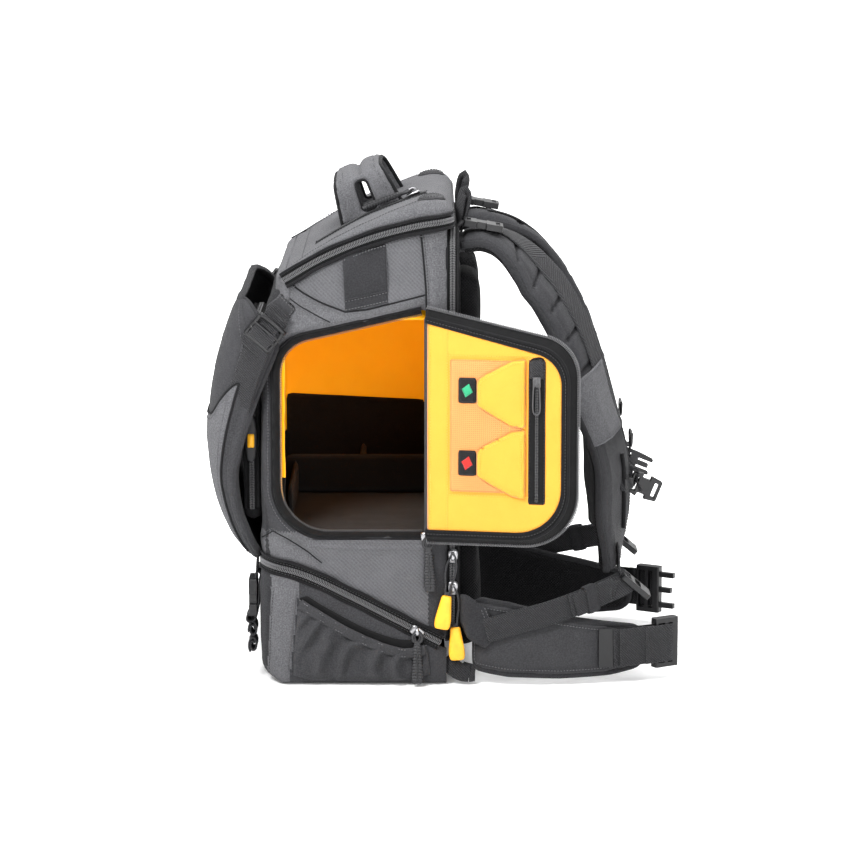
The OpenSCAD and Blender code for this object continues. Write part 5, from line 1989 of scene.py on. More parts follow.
# rear zipper: up one side, over the top, down the other
turn = np.linspace(0, PI / 2, 10)[1:]
half = np.vstack([np.c_[np.full(150, 140.2), np.linspace(42, 412, 150)],
                  np.c_[118.2 + 22 * np.cos(turn), 412 + 23.5 * np.sin(turn)]])
line = np.vstack([half, [(x, 435.5) for x in np.linspace(112, -112, 90)],
                  (half * vec(-1, 1))[::-1]])
path, out = upright_path(line, 86.4, 118.2, -10, 412)
path, out = resample(path, 2.2, normals=out)
zipper("rear_zip", "bag_body", path, out, (10.5, 1.0), (1.9, 5.0, 1.5, 1.2, 1.0), sink=0.2,
       replaces=("rear_zipper_track",))
across = frames(path, out)[2]
across = across * np.sign(across[:, 1:2] + 1e-9)
pipe("bag_body", path - across * 5.4 + out * 0.6, 1.3, 7)
pipe("back_panel", path + across * 5.2 + out * 0.2, 1.2, 7)

# simulated back pads
PAD_VOXEL, PAD_PRESSURE, PAD_FRAMES, PAD_CAP = 5.0, 3.0, 14, 3.0


def blow_up(ob, start):
    """runs cloth pressure on the pad and returns its vertices, moved no more than the cap"""
    modifier = ob.modifiers.new("cloth", "CLOTH")
    cloth_settings = modifier.settings
    for key, value in dict(
            quality=4, mass=0.3, tension_stiffness=8, compression_stiffness=8,
            shear_stiffness=4, bending_stiffness=0.4, use_pressure=True,
            uniform_pressure_force=PAD_PRESSURE, vertex_group_mass="hold",
            air_damping=3).items():
        setattr(cloth_settings, key, value)
    cloth_settings.effector_weights.gravity = 0
    modifier.collision_settings.use_collision = False
    modifier.point_cache.frame_start = 1
    modifier.point_cache.frame_end = PAD_FRAMES
    scene = bpy.context.scene
    for number in range(1, PAD_FRAMES + 1):
        scene.frame_set(number)
    result = ob.evaluated_get(bpy.context.evaluated_depsgraph_get()).data
    moved = np.empty(len(result.vertices) * 3)
    result.vertices.foreach_get("co", moved)
    ob.modifiers.clear()
    scene.frame_set(1)
    shift = moved.reshape(-1, 3) - start
    length = np.nan_to_num(np.linalg.norm(shift, axis=1), nan=0.0)
    shift = np.nan_to_num(shift)
    cap = PAD_CAP * MM
    return start + shift * np.where(length > cap, cap / (length + 1e-9), 1.0)[:, None]


def puffed_pad(name, shape, seams, replaces):
    """pad remeshed and blown up between the back cloth and its (x, z) seams, which hold"""
    vertices, faces = shape
    data = bpy.data.meshes.new(name + "_raw")
    data.from_pydata([tuple(v) for v in np.asarray(vertices, float) * MM], [],
                     [tuple(int(i) for i in face) for face in faces])
    data.validate()
    ob = add_object(name, data)
    fix_normals(ob)
    remesh = ob.modifiers.new("remesh", "REMESH")
    remesh.mode = "VOXEL"
    remesh.voxel_size = PAD_VOXEL * MM
    depsgraph = bpy.context.evaluated_depsgraph_get()
    data = bpy.data.meshes.new_from_object(ob.evaluated_get(depsgraph))
    ob.modifiers.clear()
    ob.data = data
    smooth_shading(data)
    places = np.empty(len(data.vertices) * 3)
    data.vertices.foreach_get("co", places)
    places = places.reshape(-1, 3)
    spots = places * 1000
    hold = np.where(spots[:, 1] < 94.0, 1.0, 0.0)
    for seam in seams:
        hold = np.maximum(hold, 0.9 * (line_distance(spots[:, (0, 2)], seam) < 3.0))
    group = ob.vertex_groups.new(name="hold")
    for level in range(1, 11):
        chosen = np.where(np.round(hold * 10) == level)[0]
        if len(chosen):
            group.add([int(i) for i in chosen], level / 10, "REPLACE")
    data.vertices.foreach_set("co", blow_up(ob, places).ravel())
    ob.vertex_groups.clear()
    data.materials.clear()
    data.materials.append(MATERIALS["spacer"])
    data.update()
    modifier = ob.modifiers.new("sub", "SUBSURF")
    modifier.levels = modifier.render_levels = 1
    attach(ob, "back_panel")
    if replaces:
        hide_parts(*replaces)


def box_pad(middle, width, low, high):
    outline = rounded(box(middle - width / 2, middle + width / 2, low, high), 16)
    return cushion(outline, 5.0, 21.0, 0.2, 11,
                   lambda pts, height: np.c_[pts[:, 0], 90.6 + height, pts[:, 1]], power=2.4)


for name, side in SIDES:
    middle = 70 * side
    seams = [[(middle - 45, z), (middle + 45, z)] for z in (232, 314)]
    puffed_pad("back_pad_" + name, box_pad(middle, 90, 151, 395), seams,
               ("back_pads",) if side > 0 else ())
    for seam in seams:
        line = resample(seam, 2.0)
        line = line[np.abs(line[:, 0] - middle) < 38]
        sew("back_panel", np.c_[line[:, 0], np.full(len(line), 111.6), line[:, 1]],
            vec(0, 1, 0), dark=True)
    pipe_outline(rounded(box(middle - 44.5, middle + 44.5, 151.5, 394.5), 16, 8), 92.2, 2.1)
puffed_pad("lumbar_pad", box_pad(0, 212, 24, 134), [[(x, 24), (x, 134)] for x in (-36, 36)],
           ())
pipe_outline(rounded(box(-106, 106, 24.5, 133.5), 16, 8), 92.2, 2.1)

# ------------------------------------------------------------------ shoulder straps
# centre line (y, z) of the strap from the back panel over the top and down
STRAP = spline([(95, 420), (118, 422), (140, 417), (165, 404), (182, 388), (196, 368),
                (214, 333), (228, 290), (237, 241), (241, 192), (241, 143), (240, 104)], 2)
STRAP_MIDDLE = 90
strap_arc = arc_length(STRAP)
strap_tangents = unit(np.gradient(STRAP, axis=0))
STRAP_LENGTH = strap_arc[-1]


def strap_twist(along):
    """turn of the strap about its own length, and how far it sinks with it"""
    lower = smooth(215, 300, along)
    upper = smooth(14, 95, along) * (1 - lower)
    end = 1 - 0.6 * smooth(STRAP_LENGTH - 60, STRAP_LENGTH, along)
    return np.radians(33.0 * upper + 26.0 * lower * end), 12.5 * upper + 0.5 * lower


def on_strap(along, height, x):
    """points at a distance along the strap, a height above it and a place across it"""
    along = np.atleast_1d(np.asarray(np.clip(along, 0, STRAP_LENGTH), float))
    height = height + 0 * along
    twist, sink = strap_twist(along)
    across = x + 0 * along - STRAP_MIDDLE
    x = STRAP_MIDDLE + across * np.cos(twist) + height * np.sin(twist)
    height = height * np.cos(twist) - across * np.sin(twist) - sink
    y, z, run_y, run_z = [np.interp(along, strap_arc, column)
                          for column in np.c_[STRAP, strap_tangents].T]
    return np.c_[x, y - run_z * height, z + run_y * height]


def strap_normals(along, side=1):
    run_y, run_z = [np.interp(along, strap_arc, column) for column in strap_tangents.T]
    twist, _ = strap_twist(along)
    return np.c_[np.sin(twist) * side, -run_z * np.cos(twist), run_y * np.cos(twist)]


def strap_at(y, z):
    return strap_arc[np.argmin(np.hypot(STRAP[:, 0] - y, STRAP[:, 1] - z))]


SLEEVE_START, SLEEVE_END = strap_at(225, 300), strap_at(237, 241)
CREASES = [strap_at(*place) for place in ((146, 414), (172, 398), (193, 372), (210, 341),
                                          (223, 306))]


def strap_half(along):
    return (31.5 - 4.0 * smooth(STRAP_LENGTH - 70, STRAP_LENGTH, along)
            - 3.0 * smooth(40, 0, along))


def strap_relief(pts, _):
    along, across = pts[:, 0], np.abs(pts[:, 1] - STRAP_MIDDLE)
    puffy = smooth(STRAP_LENGTH * 0.66, STRAP_LENGTH * 0.5, along)
    edge = strap_half(along) - across
    height = 0.5 * noise(pts, 34, 3, 151) + 0.2 * noise(pts, 10, 2, 152)
    height = height - puffy * 3.4 * bell(edge - 11, 1.5)
    for crease in CREASES:
        height = height - (puffy * 4.2 * bell(along - crease - 0.25 * across, 2.2)
                           * smooth(3, 9, edge))
    return height + puffy * 2.2 * smooth(4, 9, edge) - (1 - puffy) * 1.6 * bell(edge - 7.5, 1.0)


def line_back(ob, rules=()):
    """spacer mesh on the back half of a cushion's faces; rules repaint the front by z"""
    data = ob.data
    data.materials.append(MATERIALS["spacer"])
    index = np.zeros(len(data.polygons), np.int32)
    index[len(index) // 2:] = 1
    z = face_values(data, "center")[:, 2] * 1000
    for k, (material, below) in enumerate(rules):
        data.materials.append(MATERIALS[material])
        index[(index == 0) & (z < below)] = k + 2
    data.polygons.foreach_set("material_index", index)


strap_line = np.linspace(0, STRAP_LENGTH, 150)
strap_outline = np.vstack([
    np.c_[strap_line, STRAP_MIDDLE + strap_half(strap_line)],
    np.c_[strap_line[::-1], STRAP_MIDDLE - strap_half(strap_line[::-1])]])
vertices, faces = cushion(strap_outline, detail(3.6, 2.9), 8.6, 8.4, 9.0,
                          lambda pts, height: on_strap(pts[:, 0], height, pts[:, 1]),
                          strap_relief, rim=3.0, power=2.3,
                          back_relief=lambda pts, _: 0.6 * noise(pts, 22, 2, 153))
for name, side in SIDES:
    body = "strap_" + name
    line_back(mesh("strap_pad_" + name, (flip(vertices, side), faces), "charcoal", body,
                   replaces=("shoulder_pad_" + name,)),
              [("smooth", 236)])
    shapes = []
    out = strap_normals(strap_line, side)
    ends = smooth(0, 6, strap_line) * smooth(STRAP_LENGTH, STRAP_LENGTH - 6, strap_line)
    for edge in (1, -1):
        path = on_strap(strap_line, np.zeros(150), STRAP_MIDDLE + edge * strap_half(strap_line))
        shapes.append(sweep(flip(path, side), binding_profile(2.4, 1.6, 3.2), out))
        path = on_strap(strap_line, 8.3 * ends,
                        STRAP_MIDDLE + edge * (strap_half(strap_line) - 6.0))
        sew(body, flip(path, side), out, dark=True)
    mesh("strap_binding_" + name, shapes, "binding", body)
    # webbing that lies on the strap, from the load lifter to the sleeve
    along = np.linspace(strap_at(120, 422), SLEEVE_END + 4, 110)
    height = 11.6 + 1.0 * np.sin(along / 26.0) * smooth(0, 30, along - along[0])
    shapes = [webbing(flip(on_strap(along, height, 82.0), side), strap_normals(along, side),
                      25, 1.7)]
    # webbing that turns through the ladder lock at the strap's end
    along = np.linspace(STRAP_LENGTH - 26, STRAP_LENGTH - 1, 10)
    path = np.vstack([on_strap(along, 10.2, 104.0), [(104, 252.2, 99.5), (104, 256.5, 95.5),
                                                     (104, 262, 90.2), (104, 267, 85.8)]])
    shapes.append(webbing(resample(spline(flip(path, side), 2), 2), vec(0, 0.8, 0.5), 24, 1.6))
    mesh(f"strap_webbing_{name}_cloth", shapes, "webbing", body,
         replaces=("strap_webbing_" + name,))
    # fabric sleeve across the strap
    across = np.linspace(-33.5, 33.5, 34)
    profile = np.interp(np.abs(across), [0, 12.5, 15, 24, 31.5, 33.5],
                        [14.2, 14.2, 13.0, 11.2, 6.0, -2.0])
    along = np.linspace(SLEEVE_START - 2, SLEEVE_END + 6, 30)
    rows = []
    for start in along:
        part = (start - along[0]) / (along[-1] - along[0])
        wrinkle = 0.5 * math.sin(part * 9) * np.cos(across / 9.0)
        rows.append(on_strap(start + across * 0.22, profile + wrinkle, STRAP_MIDDLE + across))
    rows = flip(rows, side)
    out = grid_normals(rows, (15, 17), (0.2 * side, 1, 0.2))
    mesh("strap_sleeve_" + name, thick_grid(rows, out, 1.3), "grey", body)
    for row in (1, 28):
        sew(body, rows[row, 2:-2] + out[row, 2:-2] * 0.3, out[row, 2:-2])
    # load lifter webbing, bends between the back panel and the strap
    ob = mesh("load_lifter_" + name,
              ribbon([(101, 90.6, 431), (101, 92.6, 437), (101, 96.5, 440.6), (101, 103, 441.0),
                      (101, 111, 440.2), (101, 121, 438.4), (101, 134, 435.8)],
                     1.6, (0, 0, 1), 22, 1.6, side), "webbing", None)
    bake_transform(ob)
    # cloth that joins the strap to the back panel
    ring = squircle(28, 0.5, 0.7)
    rings = [np.c_[STRAP_MIDDLE * side + 27 * ring[:, 0], np.full(28, 90.2 + part * 10),
                   420 + part * 0.5 + (7.5 + 1.0 * math.sin(part * PI)) * ring[:, 1]]
             for part in np.linspace(0, 1, 9)]
    ob = mesh("strap_root_" + name, loft(rings), "charcoal_d", None)
    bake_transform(ob)
    # grab loop that stands up behind the lid
    path = spline([(75, 91.5, 405), (75, 92.4, 428), (75, 93.6, 448), (75, 96.0, 463),
                   (75, 99.2, 466.4), (75, 101.0, 462), (75, 98.6, 450), (75, 96.2, 436),
                   (75, 94.6, 424), (75, 94.0, 408)], 1.8)
    turned = smooth(425, 452, path[:, 2])[:, None]
    out = vec(0, -1, 0) * (1 - turned) + vec(0.5, -0.86, 0) * turned
    mesh("grab_loop_" + name, webbing(flip(path, side), flip(out, side), 14, 1.6), "webbing",
         "back_panel", replaces=("back_webbing",) if side > 0 else ())
    # rail of the chest strap
    path = on_strap(np.linspace(strap_at(241, 214), strap_at(241, 142), 30), 10.6, 84.0)
    pipe(body, flip(path, side), 2.0)

# ------------------------------------------------------------------ hip wings
# plan (x, y) of the right wing, from the back panel outwards and rearwards
WING = spline([(112, 101), (130, 101), (143, 105.5), (150, 117), (153, 135), (153.5, 155),
               (152, 185), (146, 220), (137, 248), (126, 274)], 2)
wing_arc = arc_length(WING)
WING_END = wing_arc[-1]
tangents = unit(np.gradient(WING, axis=0))
wing_out = np.c_[tangents[:, 1], -tangents[:, 0]]


def wing_normals(along):
    x, y = [np.interp(along, wing_arc, column) for column in wing_out.T]
    return np.c_[x, y, np.zeros(len(along))]


def on_wing(along, z, height):
    along = np.clip(along, 0, WING_END)
    x, y = [np.interp(along, wing_arc, column) for column in WING.T]
    out = wing_normals(along)
    return np.c_[x + out[:, 0] * (height - 6.2), y + out[:, 1] * (height - 6.2), z]


def wing_at(y):
    return np.interp(y, WING[6:, 1], wing_arc[6:])


wing_outline = rounded(
    [(wing_at(104), 17), (wing_at(104), 84), (wing_at(140), 78.5), (wing_at(190), 65.6),
     (wing_at(240), 56.6), (WING_END - 0.5, 50.5), (WING_END - 0.5, 15.5), (wing_at(240), 10),
     (wing_at(190), 9), (wing_at(140), 11)], [10, 12, 24, 40, 40, 16, 16, 40, 40, 30], 7)


def end_seam(z):
    return wing_at(247) + (z - 34) * 0.12


def wing_relief(pts, edge):
    height = 0.7 * noise(pts, 40, 3, 161) + 0.2 * noise(pts, 11, 2, 162)
    height = height - 1.3 * bell(edge - 7.5, 1.2) + 1.2 * smooth(10, 30, edge)
    return height - 1.4 * bell(pts[:, 0] - end_seam(pts[:, 1]), 1.5)


vertices, faces = cushion(wing_outline, detail(3.8, 3.0), 5.6, 5.6, 6.5,
                          lambda pts, height: on_wing(pts[:, 0], pts[:, 1], height),
                          wing_relief, rim=3.0,
                          back_relief=lambda pts, _: 0.4 * noise(pts, 22, 2, 163))
rim = resample(wing_outline, 2.0, True)
rim_path, rim_out = on_wing(rim[:, 0], rim[:, 1], np.zeros(len(rim))), wing_normals(rim[:, 0])
tangents = unit(np.roll(rim, -1, 0) - np.roll(rim, 1, 0))
area = np.sum(rim[:, 0] * np.roll(rim[:, 1], -1) - np.roll(rim[:, 0], -1) * rim[:, 1])
inner = rim + np.c_[-tangents[:, 1], tangents[:, 0]] * np.sign(area) * 5.6
# belt webbing that comes out of the wing's end and folds back
belt = spline([(144.5, 241, 35.5), (140.6, 252, 35.8), (135.2, 263.5, 36), (129.6, 274, 36),
               (123.6, 284, 36), (118.6, 292, 36), (116.2, 296.6, 36), (117.9, 299.2, 36),
               (121.4, 296.8, 36), (126.8, 288.6, 36), (131.8, 279.8, 36), (135.4, 272.4, 36)],
              2.0)
tangents = unit(np.gradient(belt, axis=0))
belt_out = np.c_[tangents[:, 1], -tangents[:, 0], np.zeros(len(belt))]
belt_top = spline([(143.2, 247, 35.8), (139.4, 257.5, 36), (133.6, 269, 36),
                   (127.6, 280.2, 36)], 2.0) + vec(2.2, 0, 0)
# adjuster webbing from its anchor to the ladder lock of the strap
adjuster = spline([(157.4, 118, 55.5), (158.0, 132, 59.5), (158.4, 152, 65.5), (157.6, 176, 72),
                   (150.6, 200, 79), (137.5, 224, 86), (122.6, 245, 91.5), (112.5, 254.5, 94.8),
                   (106.5, 258.8, 96)], 2.0)
run = unit(np.gradient(adjuster, axis=0))
adjuster_out = unit(np.c_[run[:, 1], -run[:, 0], np.zeros(len(run))])
twist = smooth(0.62, 1.0, np.linspace(0, 1, len(adjuster)))[:, None] * 0.6
adjuster_out = adjuster_out * (1 - twist) + vec(0, 0.35, 0.9) * twist
# its tail, folded back on itself
start, end = int(len(adjuster) * 0.52), int(len(adjuster) * 0.80)
middle = (start + end) // 2
lower = adjuster[start:end] + adjuster_out[start:end] * 2.4
upper = (adjuster[start:end] + adjuster_out[start:end] * 4.6)[::-1]
bend = lower[-1:] + adjuster_out[end - 1] * 1.2 + run[end - 1] * 2.2
tail = spline(np.vstack([lower[::4], bend, upper[::4]]), 2.0)
# keeper loop round both layers
keeper_out, keeper_run = adjuster_out[middle], run[middle]
keeper_across = np.cross(keeper_run, keeper_out)
keeper = np.array([adjuster[middle] + keeper_out * 1.8 + keeper_across * x + keeper_out * z
                   for x, z in rounded(box(-13.4, 13.4, -3.6, 4.8), 2.6, 5)])
anchor_outline = rounded([(93.5, 62), (101, 47), (118, 37.5), (129.5, 52), (119.5, 77),
                          (101, 90), (93.5, 90)], [1, 8, 3, 3, 3, 6, 1], 4)

for name, side in SIDES:
    body = "hip_" + name
    line_back(mesh("hip_pad_" + name, (flip(vertices, side), faces), "smooth", body,
                   replaces=("hip_wing_" + name,)))
    mesh("hip_binding_" + name,
         sweep(flip(rim_path, side), binding_profile(2.6, 1.8, 3.6), flip(rim_out, side), True),
         "binding", body)
    path = on_wing(inner[:, 0], inner[:, 1], np.full(len(inner), 5.9))
    sew(body, flip(path, side), flip(wing_normals(inner[:, 0]), side), closed=True)
    # seam of the end patch
    z = np.linspace(16, 52, 20)
    along = end_seam(z) - 2.2
    sew(body, flip(on_wing(along, z, np.full(20, 6.9)), side), flip(wing_normals(along), side))
    mesh("belt_webbing_" + name,
         [webbing(flip(belt, side), flip(belt_out, side), 36.5, 1.8),
          webbing(flip(belt_top, side), vec(side * 0.87, 0.5, 0), 36.5, 1.8)], "webbing", body)
    # triangular anchor of the adjuster webbing, part of the back panel
    mesh("adjuster_anchor_" + name,
         cushion(anchor_outline, 3.0, 1.4, 1.2, 2.2,
                 lambda pts, height: np.c_[
                     side * (155.6 + height - 7.0 * smooth(104, 92, pts[:, 0])), pts],
                 lambda pts, _: 0.4 * noise(pts, 18, 2, 171)),
         "charcoal_d", "back_panel")
    for ends in ([(114.5, 75), (124.5, 49)], [(117.5, 77), (127.5, 52)]):
        line = resample(ends, 1.5)
        sew("back_panel", np.c_[np.full(len(line), side * 157.2), line], vec(side, 0, 0))
    ob = mesh("adjuster_webbing_" + name,
              [webbing(flip(adjuster, side), flip(adjuster_out, side), 23.5, 1.7),
               webbing(flip(tail, side), flip(adjuster_out[middle], side), 22.5, 1.5)],
              "webbing", None, replaces=("adjuster_webbing",) if side > 0 else ())
    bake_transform(ob)
    ob = mesh("adjuster_keeper_" + name,
              sweep(resample(flip(keeper, side), 1.6, True), webbing_profile(1.3, 12.0),
                    flip(keeper_run, side), True), "binding", None)
    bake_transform(ob)


# ------------------------------------------------------------------ cord toggles
def toggle(node, origin, lean_y, lean_x, body):
    """grip that hangs on a doubled cord; leans are in degrees"""
    reach, length = 38.0, 33.0
    turn_x, turn_y = math.radians(lean_y), -math.radians(lean_x)

    def place(pts):
        x, y, z = rot_x(pts, turn_x).T
        return np.c_[x * math.cos(turn_y) + z * math.sin(turn_y) + 5.2, y,
                     -x * math.sin(turn_y) + z * math.cos(turn_y)] + vec(*origin)

    ring = squircle(24, 0.75, 0.75)
    rings = []
    # (part of the length, half width)
    for part, half in [(0, 3.2), (0.03, 4.6), (0.1, 5.2), (0.3, 5.9), (0.55, 7.2), (0.75, 8.0),
                       (0.9, 7.6), (0.97, 6.6), (1.0, 5.0)]:
        thick = 2.2 + 2.0 * math.sin(PI * min(1, 0.15 + part * 0.8)) ** 0.8
        if part in (0, 1.0):
            thick *= 0.6
        rings.append(level_ring(ring, thick, half, 1 - reach - length * part))
    grip, grip_faces = loft(rings)
    mesh(node + "_grip", (place(grip), grip_faces), "yplastic", body,
         replaces=(node,), subdivide=2)
    cord = np.array([(0, 0.6, 1.6), (0.6, 2.6, -1.0), (0.2, 4.6, -9), (0.2, 4.4, -19),
                     (0.3, 2.4, -29), (0.2, 1.5, 1 - reach - 3)])
    strands = [tube(place(spline(cord * (1, edge, 1) + (0.5 * edge, 0, 0), 1.4)), 1.05)
               for edge in (1, -1)]
    bight = spline([(0, -2.6, -1), (0.8, 0, 2.0), (0, 2.6, -1)], 1.0)
    mesh(node + "_cord",
         strands + [tube(place(bight), 1.05),
                    block(place([(0.0, 0, 1 - reach + 1.6)])[0], np.eye(3), (3.6, 5.2, 3.4),
                          0.35)], "cord_g", body)


def rot_x(pts, angle):
    x, y, z = np.atleast_2d(np.asarray(pts, float)).T
    cosine, sine = math.cos(angle), math.sin(angle)
    return np.c_[x, y * cosine - z * sine, y * sine + z * cosine]


UPPER_ZIP, LOWER_ZIP = (141.5, 87, 125), (141.5, 87, 94)
toggle("toggle_upper", UPPER_ZIP, -9, 7, "rear_toggle_upper")
toggle("toggle_lower", LOWER_ZIP, 3.5, 0, "rear_toggle_lower")


# ------------------------------------------------------------------ ribbed zipper pulls
def ribbed_pull(node, place, length, body):
    """place maps local points (x out of the face, y across, z up) to the bag's frame"""
    pin_x = 5.2
    ring = squircle(20, 0.5, 0.5)
    count = detail(64, 120)
    rings = []
    for i in range(count + 1):
        part = i / count
        rib = (0.5 + 0.5 * math.cos(part * (length - 9) / 2.9 * 2 * PI)) ** 0.6
        rib *= 0.08 < part < 0.93
        half = 2.9 + 2.0 * smooth(0, 0.9, part) + rib
        thick = 1.7 + 0.35 * smooth(0, 0.12, part) + rib * 0.6
        if i in (0, count):
            half *= 0.82
            thick *= 0.75
        rings.append(level_ring(ring, thick, half, -8.5 + (8.5 - length) * part, x=pin_x))
    grip, grip_faces = loft(rings)
    mesh(node + "_grip", (place(grip), grip_faces), "rubber", body,
         replaces=(node,))
    half_loop = [(pin_x, 0.9, -9.5), (pin_x, 2.1, -6.5), (pin_x, 2.3, -3.0), (pin_x, 1.4, 0.6)]
    cord = spline(half_loop + [(pin_x, 0, 1.5)] + [(x, -y, z) for x, y, z in half_loop[::-1]],
                  1.0)
    core = spline([(6.9, 0, -15), (7.25, 0, -20), (7.25, 0, -length + 8),
                   (6.9, 0, -length + 3)], 1.5)
    mesh(node + "_cord", [tube(place(cord), 1.0), tube(place(core + vec(0.5, 0, 0)), 0.8, 6)],
         "cord_g", body)
    turn = np.linspace(0, 2 * PI, 28, endpoint=False)
    eye = np.c_[np.full(28, pin_x), 4.6 * np.cos(turn), -5.4 + 5.0 * np.sin(turn)]
    mesh(node + "_ring", tube(place(eye), 1.55, closed=True), "rubber", body)


DOOR_ZIP, POUCH_ZIP = vec(146.4, 63, 144.6), vec(148.3, 53, 53.2)


def place_on_lid(pts):
    """lays a zipper pull along the lid's slope"""
    turned = (np.atleast_2d(np.asarray(pts, float)) + vec(1.6, 0, 0))[:, [1, 2, 0]]
    return rot_x(turned, LID_SLOPE) + vec(LID_ZIP_X, 50, 462.0)


ribbed_pull("door_pull", lambda pts: rot_x(pts, math.radians(2.5)) + DOOR_ZIP, 52,
            "door_zip_pull")
ribbed_pull("pouch_pull", lambda pts: np.atleast_2d(pts) + POUCH_ZIP, 50, "pouch_zip_pull")
ribbed_pull("top_pull", place_on_lid, 50, "top_zip_pull")


# ------------------------------------------------------------------ sliders
def slider(node, place, body, turn=0.0):
    """place maps local points (x out, y across, z along the zipper) to the bag's frame"""
    ring = squircle(20, 0.6, 0.6)
    # (z, half width, thickness)
    rings = [level_ring(ring, thick * 0.5, half, z, x=thick * 0.5 + 0.1)
             for z, half, thick in [(-6.6, 2.6, 1.9), (-5.6, 3.3, 2.5), (-2.0, 4.2, 3.1),
                                    (1.6, 4.7, 3.3), (4.6, 4.6, 3.1), (6.2, 3.8, 2.5),
                                    (6.8, 2.6, 1.8)]]
    hull, hull_faces = loft(rings)
    # bent bar over the pull's pin
    bail = spline([(2.6, 0, 4.2), (5.0, 0, 3.6), (6.6, 0, 1.2), (6.6, 0, -1.6), (5.0, 0, -3.4),
                   (2.6, 0, -4.0)], 0.8)
    bar = sweep(place(rot_x(bail, -turn)), box(-1.5, 1.5, -0.55, 0.55),
                place([(1, 0, 0)])[0] - place([(0, 0, 0)])[0])
    mesh(node + "_body", [(place(hull), hull_faces), bar], "metal", body,
         replaces=(node,))


slider("door_slider", lambda pts: rot_x(pts, PI / 2) + DOOR_ZIP, "door_zip_slider", PI / 2)
slider("rear_slider_upper", lambda pts: np.atleast_2d(pts) + UPPER_ZIP, "rear_zip_slider_upper")
slider("rear_slider_lower", lambda pts: np.atleast_2d(pts) + LOWER_ZIP, "rear_zip_slider_lower")
pouch_turn = PI / 2 - math.atan2(41, 78)
slider("pouch_slider", lambda pts: rot_x(pts, pouch_turn) + POUCH_ZIP, "pouch_zip_slider",
       pouch_turn)
slider("top_slider", place_on_lid, "top_zip_slider")

# ------------------------------------------------------------------ front pocket pull
PULL_Y = -105.5
mesh("front_zip_slider_body",
     [block((119.6, PULL_Y, 262), np.eye(3), (3.4, 8.0, 12.5), 0.3),
      block((122.0, PULL_Y, 256.5), np.eye(3), (2.6, 3.2, 5.0), 0.3)],
     "metal", "front_pocket_pull")
ring = squircle(20, 0.6, 0.6)
# (z below the slider, half width, half thickness)
rings = [level_ring(ring, thick, half, 258 + z, x=123.6, y=PULL_Y)
         for z, half, thick in [(-1, 2.4, 1.6), (-4, 4.0, 2.6), (-12, 5.4, 3.2),
                                (-24, 6.0, 3.4), (-36, 5.4, 3.2), (-43, 3.8, 2.4),
                                (-45, 2.4, 1.6)]]
mesh("front_zip_pull_grip", loft(rings), "rubber", "front_pocket_pull",
     replaces=("front_zip_pull",), subdivide=1)
mesh("front_zip_pull_insert",
     block((126.2, PULL_Y, 234), np.eye(3), (3.2, 6.4, 14.0), 0.42), "yplastic",
     "front_pocket_pull")

# ------------------------------------------------------------------ moulded parts
# they keep their CAD shape, with eased edges
for node in ("pouch_buckles", "strap_buckles_right", "strap_buckles_left", "d_ring_right",
             "d_ring_left", "sternum_buckle_right", "sternum_buckle_left",
             "waist_buckle_female", "waist_buckle_male"):
    ob = frame["nodes"][node]
    ob.data.materials.clear()
    ob.data.materials.append(MATERIALS["plastic"])
    ob.modifiers.new("weld", "WELD").merge_threshold = 0.00002
    bevel = ob.modifiers.new("bevel", "BEVEL")
    bevel.width = 0.7 * MM
    bevel.segments = 2
    bevel.limit_method = "ANGLE"
    bevel.angle_limit = math.radians(35)
    bevel.harden_normals = False
    bevel.use_clamp_overlap = True
# chest strap webbing: from its rail to the buckle half, which hangs outwards
for name, side in SIDES:
    mesh("sternum_webbing_" + name,
         [ribbon([(92, 247.5, 186), (88, 252.5, 187), (80, 256.5, 187), (72, 258.5, 187),
                  (66, 261.5, 185.5), (64.5, 266, 183), (66.5, 268.5, 181.8),
                  (70.5, 266.5, 182.4)], 1.2, (0, 0.94, 0.34), 17, 1.5, side),
          ribbon([(66.5, 257.5, 196), (66.0, 262, 197), (66.2, 266, 196), (66.8, 267.4, 192),
                  (66.8, 266.2, 187)], 1.0, (0, 0.94, 0.34), 15, 1.5, side)],
         "webbing", "sternum_" + name)

# ladder locks of the flap: a frame of rounded bars with a raised lifting edge
for name, side in SIDES:
    def place(pts):
        return flip(rot_x(pts, math.radians(-40)) + vec(158, -90, 343), side)

    out = place([(1, 0, 0)])[0] - place([(0, 0, 0)])[0]
    shapes = []
    for y in (-13.8, 13.8):
        rail = spline([(2.0, y, -12), (3.2, y, -6), (3.6, y, 2), (4.4, y, 8), (6.6, y, 13)], 1.5)
        shapes.append(sweep(place(rail), [(-1.9, -1.7), (1.9, -1.7), (2.2, 0), (1.9, 1.7),
                                          (-1.9, 1.7), (-2.2, 0)], out))
    y = np.linspace(-14.6, 14.6, 15)
    bow = 1 - (y / 14.0) ** 2
    for z, x, radius in ((-11.6, 2.2, 2.1), (-3.4, 4.0, 1.7), (2.6, 4.2, 1.7),
                         (11.8, 6.4, 2.3)):
        lifting = z > 10
        bar = np.c_[x + 0.7 * bow * (1.8 if lifting else 0.3), y, z + 1.2 * bow * lifting]
        shapes.append(tube(place(bar), radius, 10))
    mesh("flap_ladder_lock_" + name, shapes, "plastic", "front_flap",
         replaces=("flap_ladder_locks",) if side > 0 else ())
    path = spline([(0.6, 0, -22), (1.6, 0, -14), (5.2, 0, -7), (5.6, 0, -1), (2.4, 0, 3),
                   (1.8, 0, 8), (1.6, 0, 13), (0.9, 0, 20)], 1.5)
    mesh("flap_lock_webbing_" + name, webbing(place(path), out, 24, 1.6), "webbing",
         "front_flap")

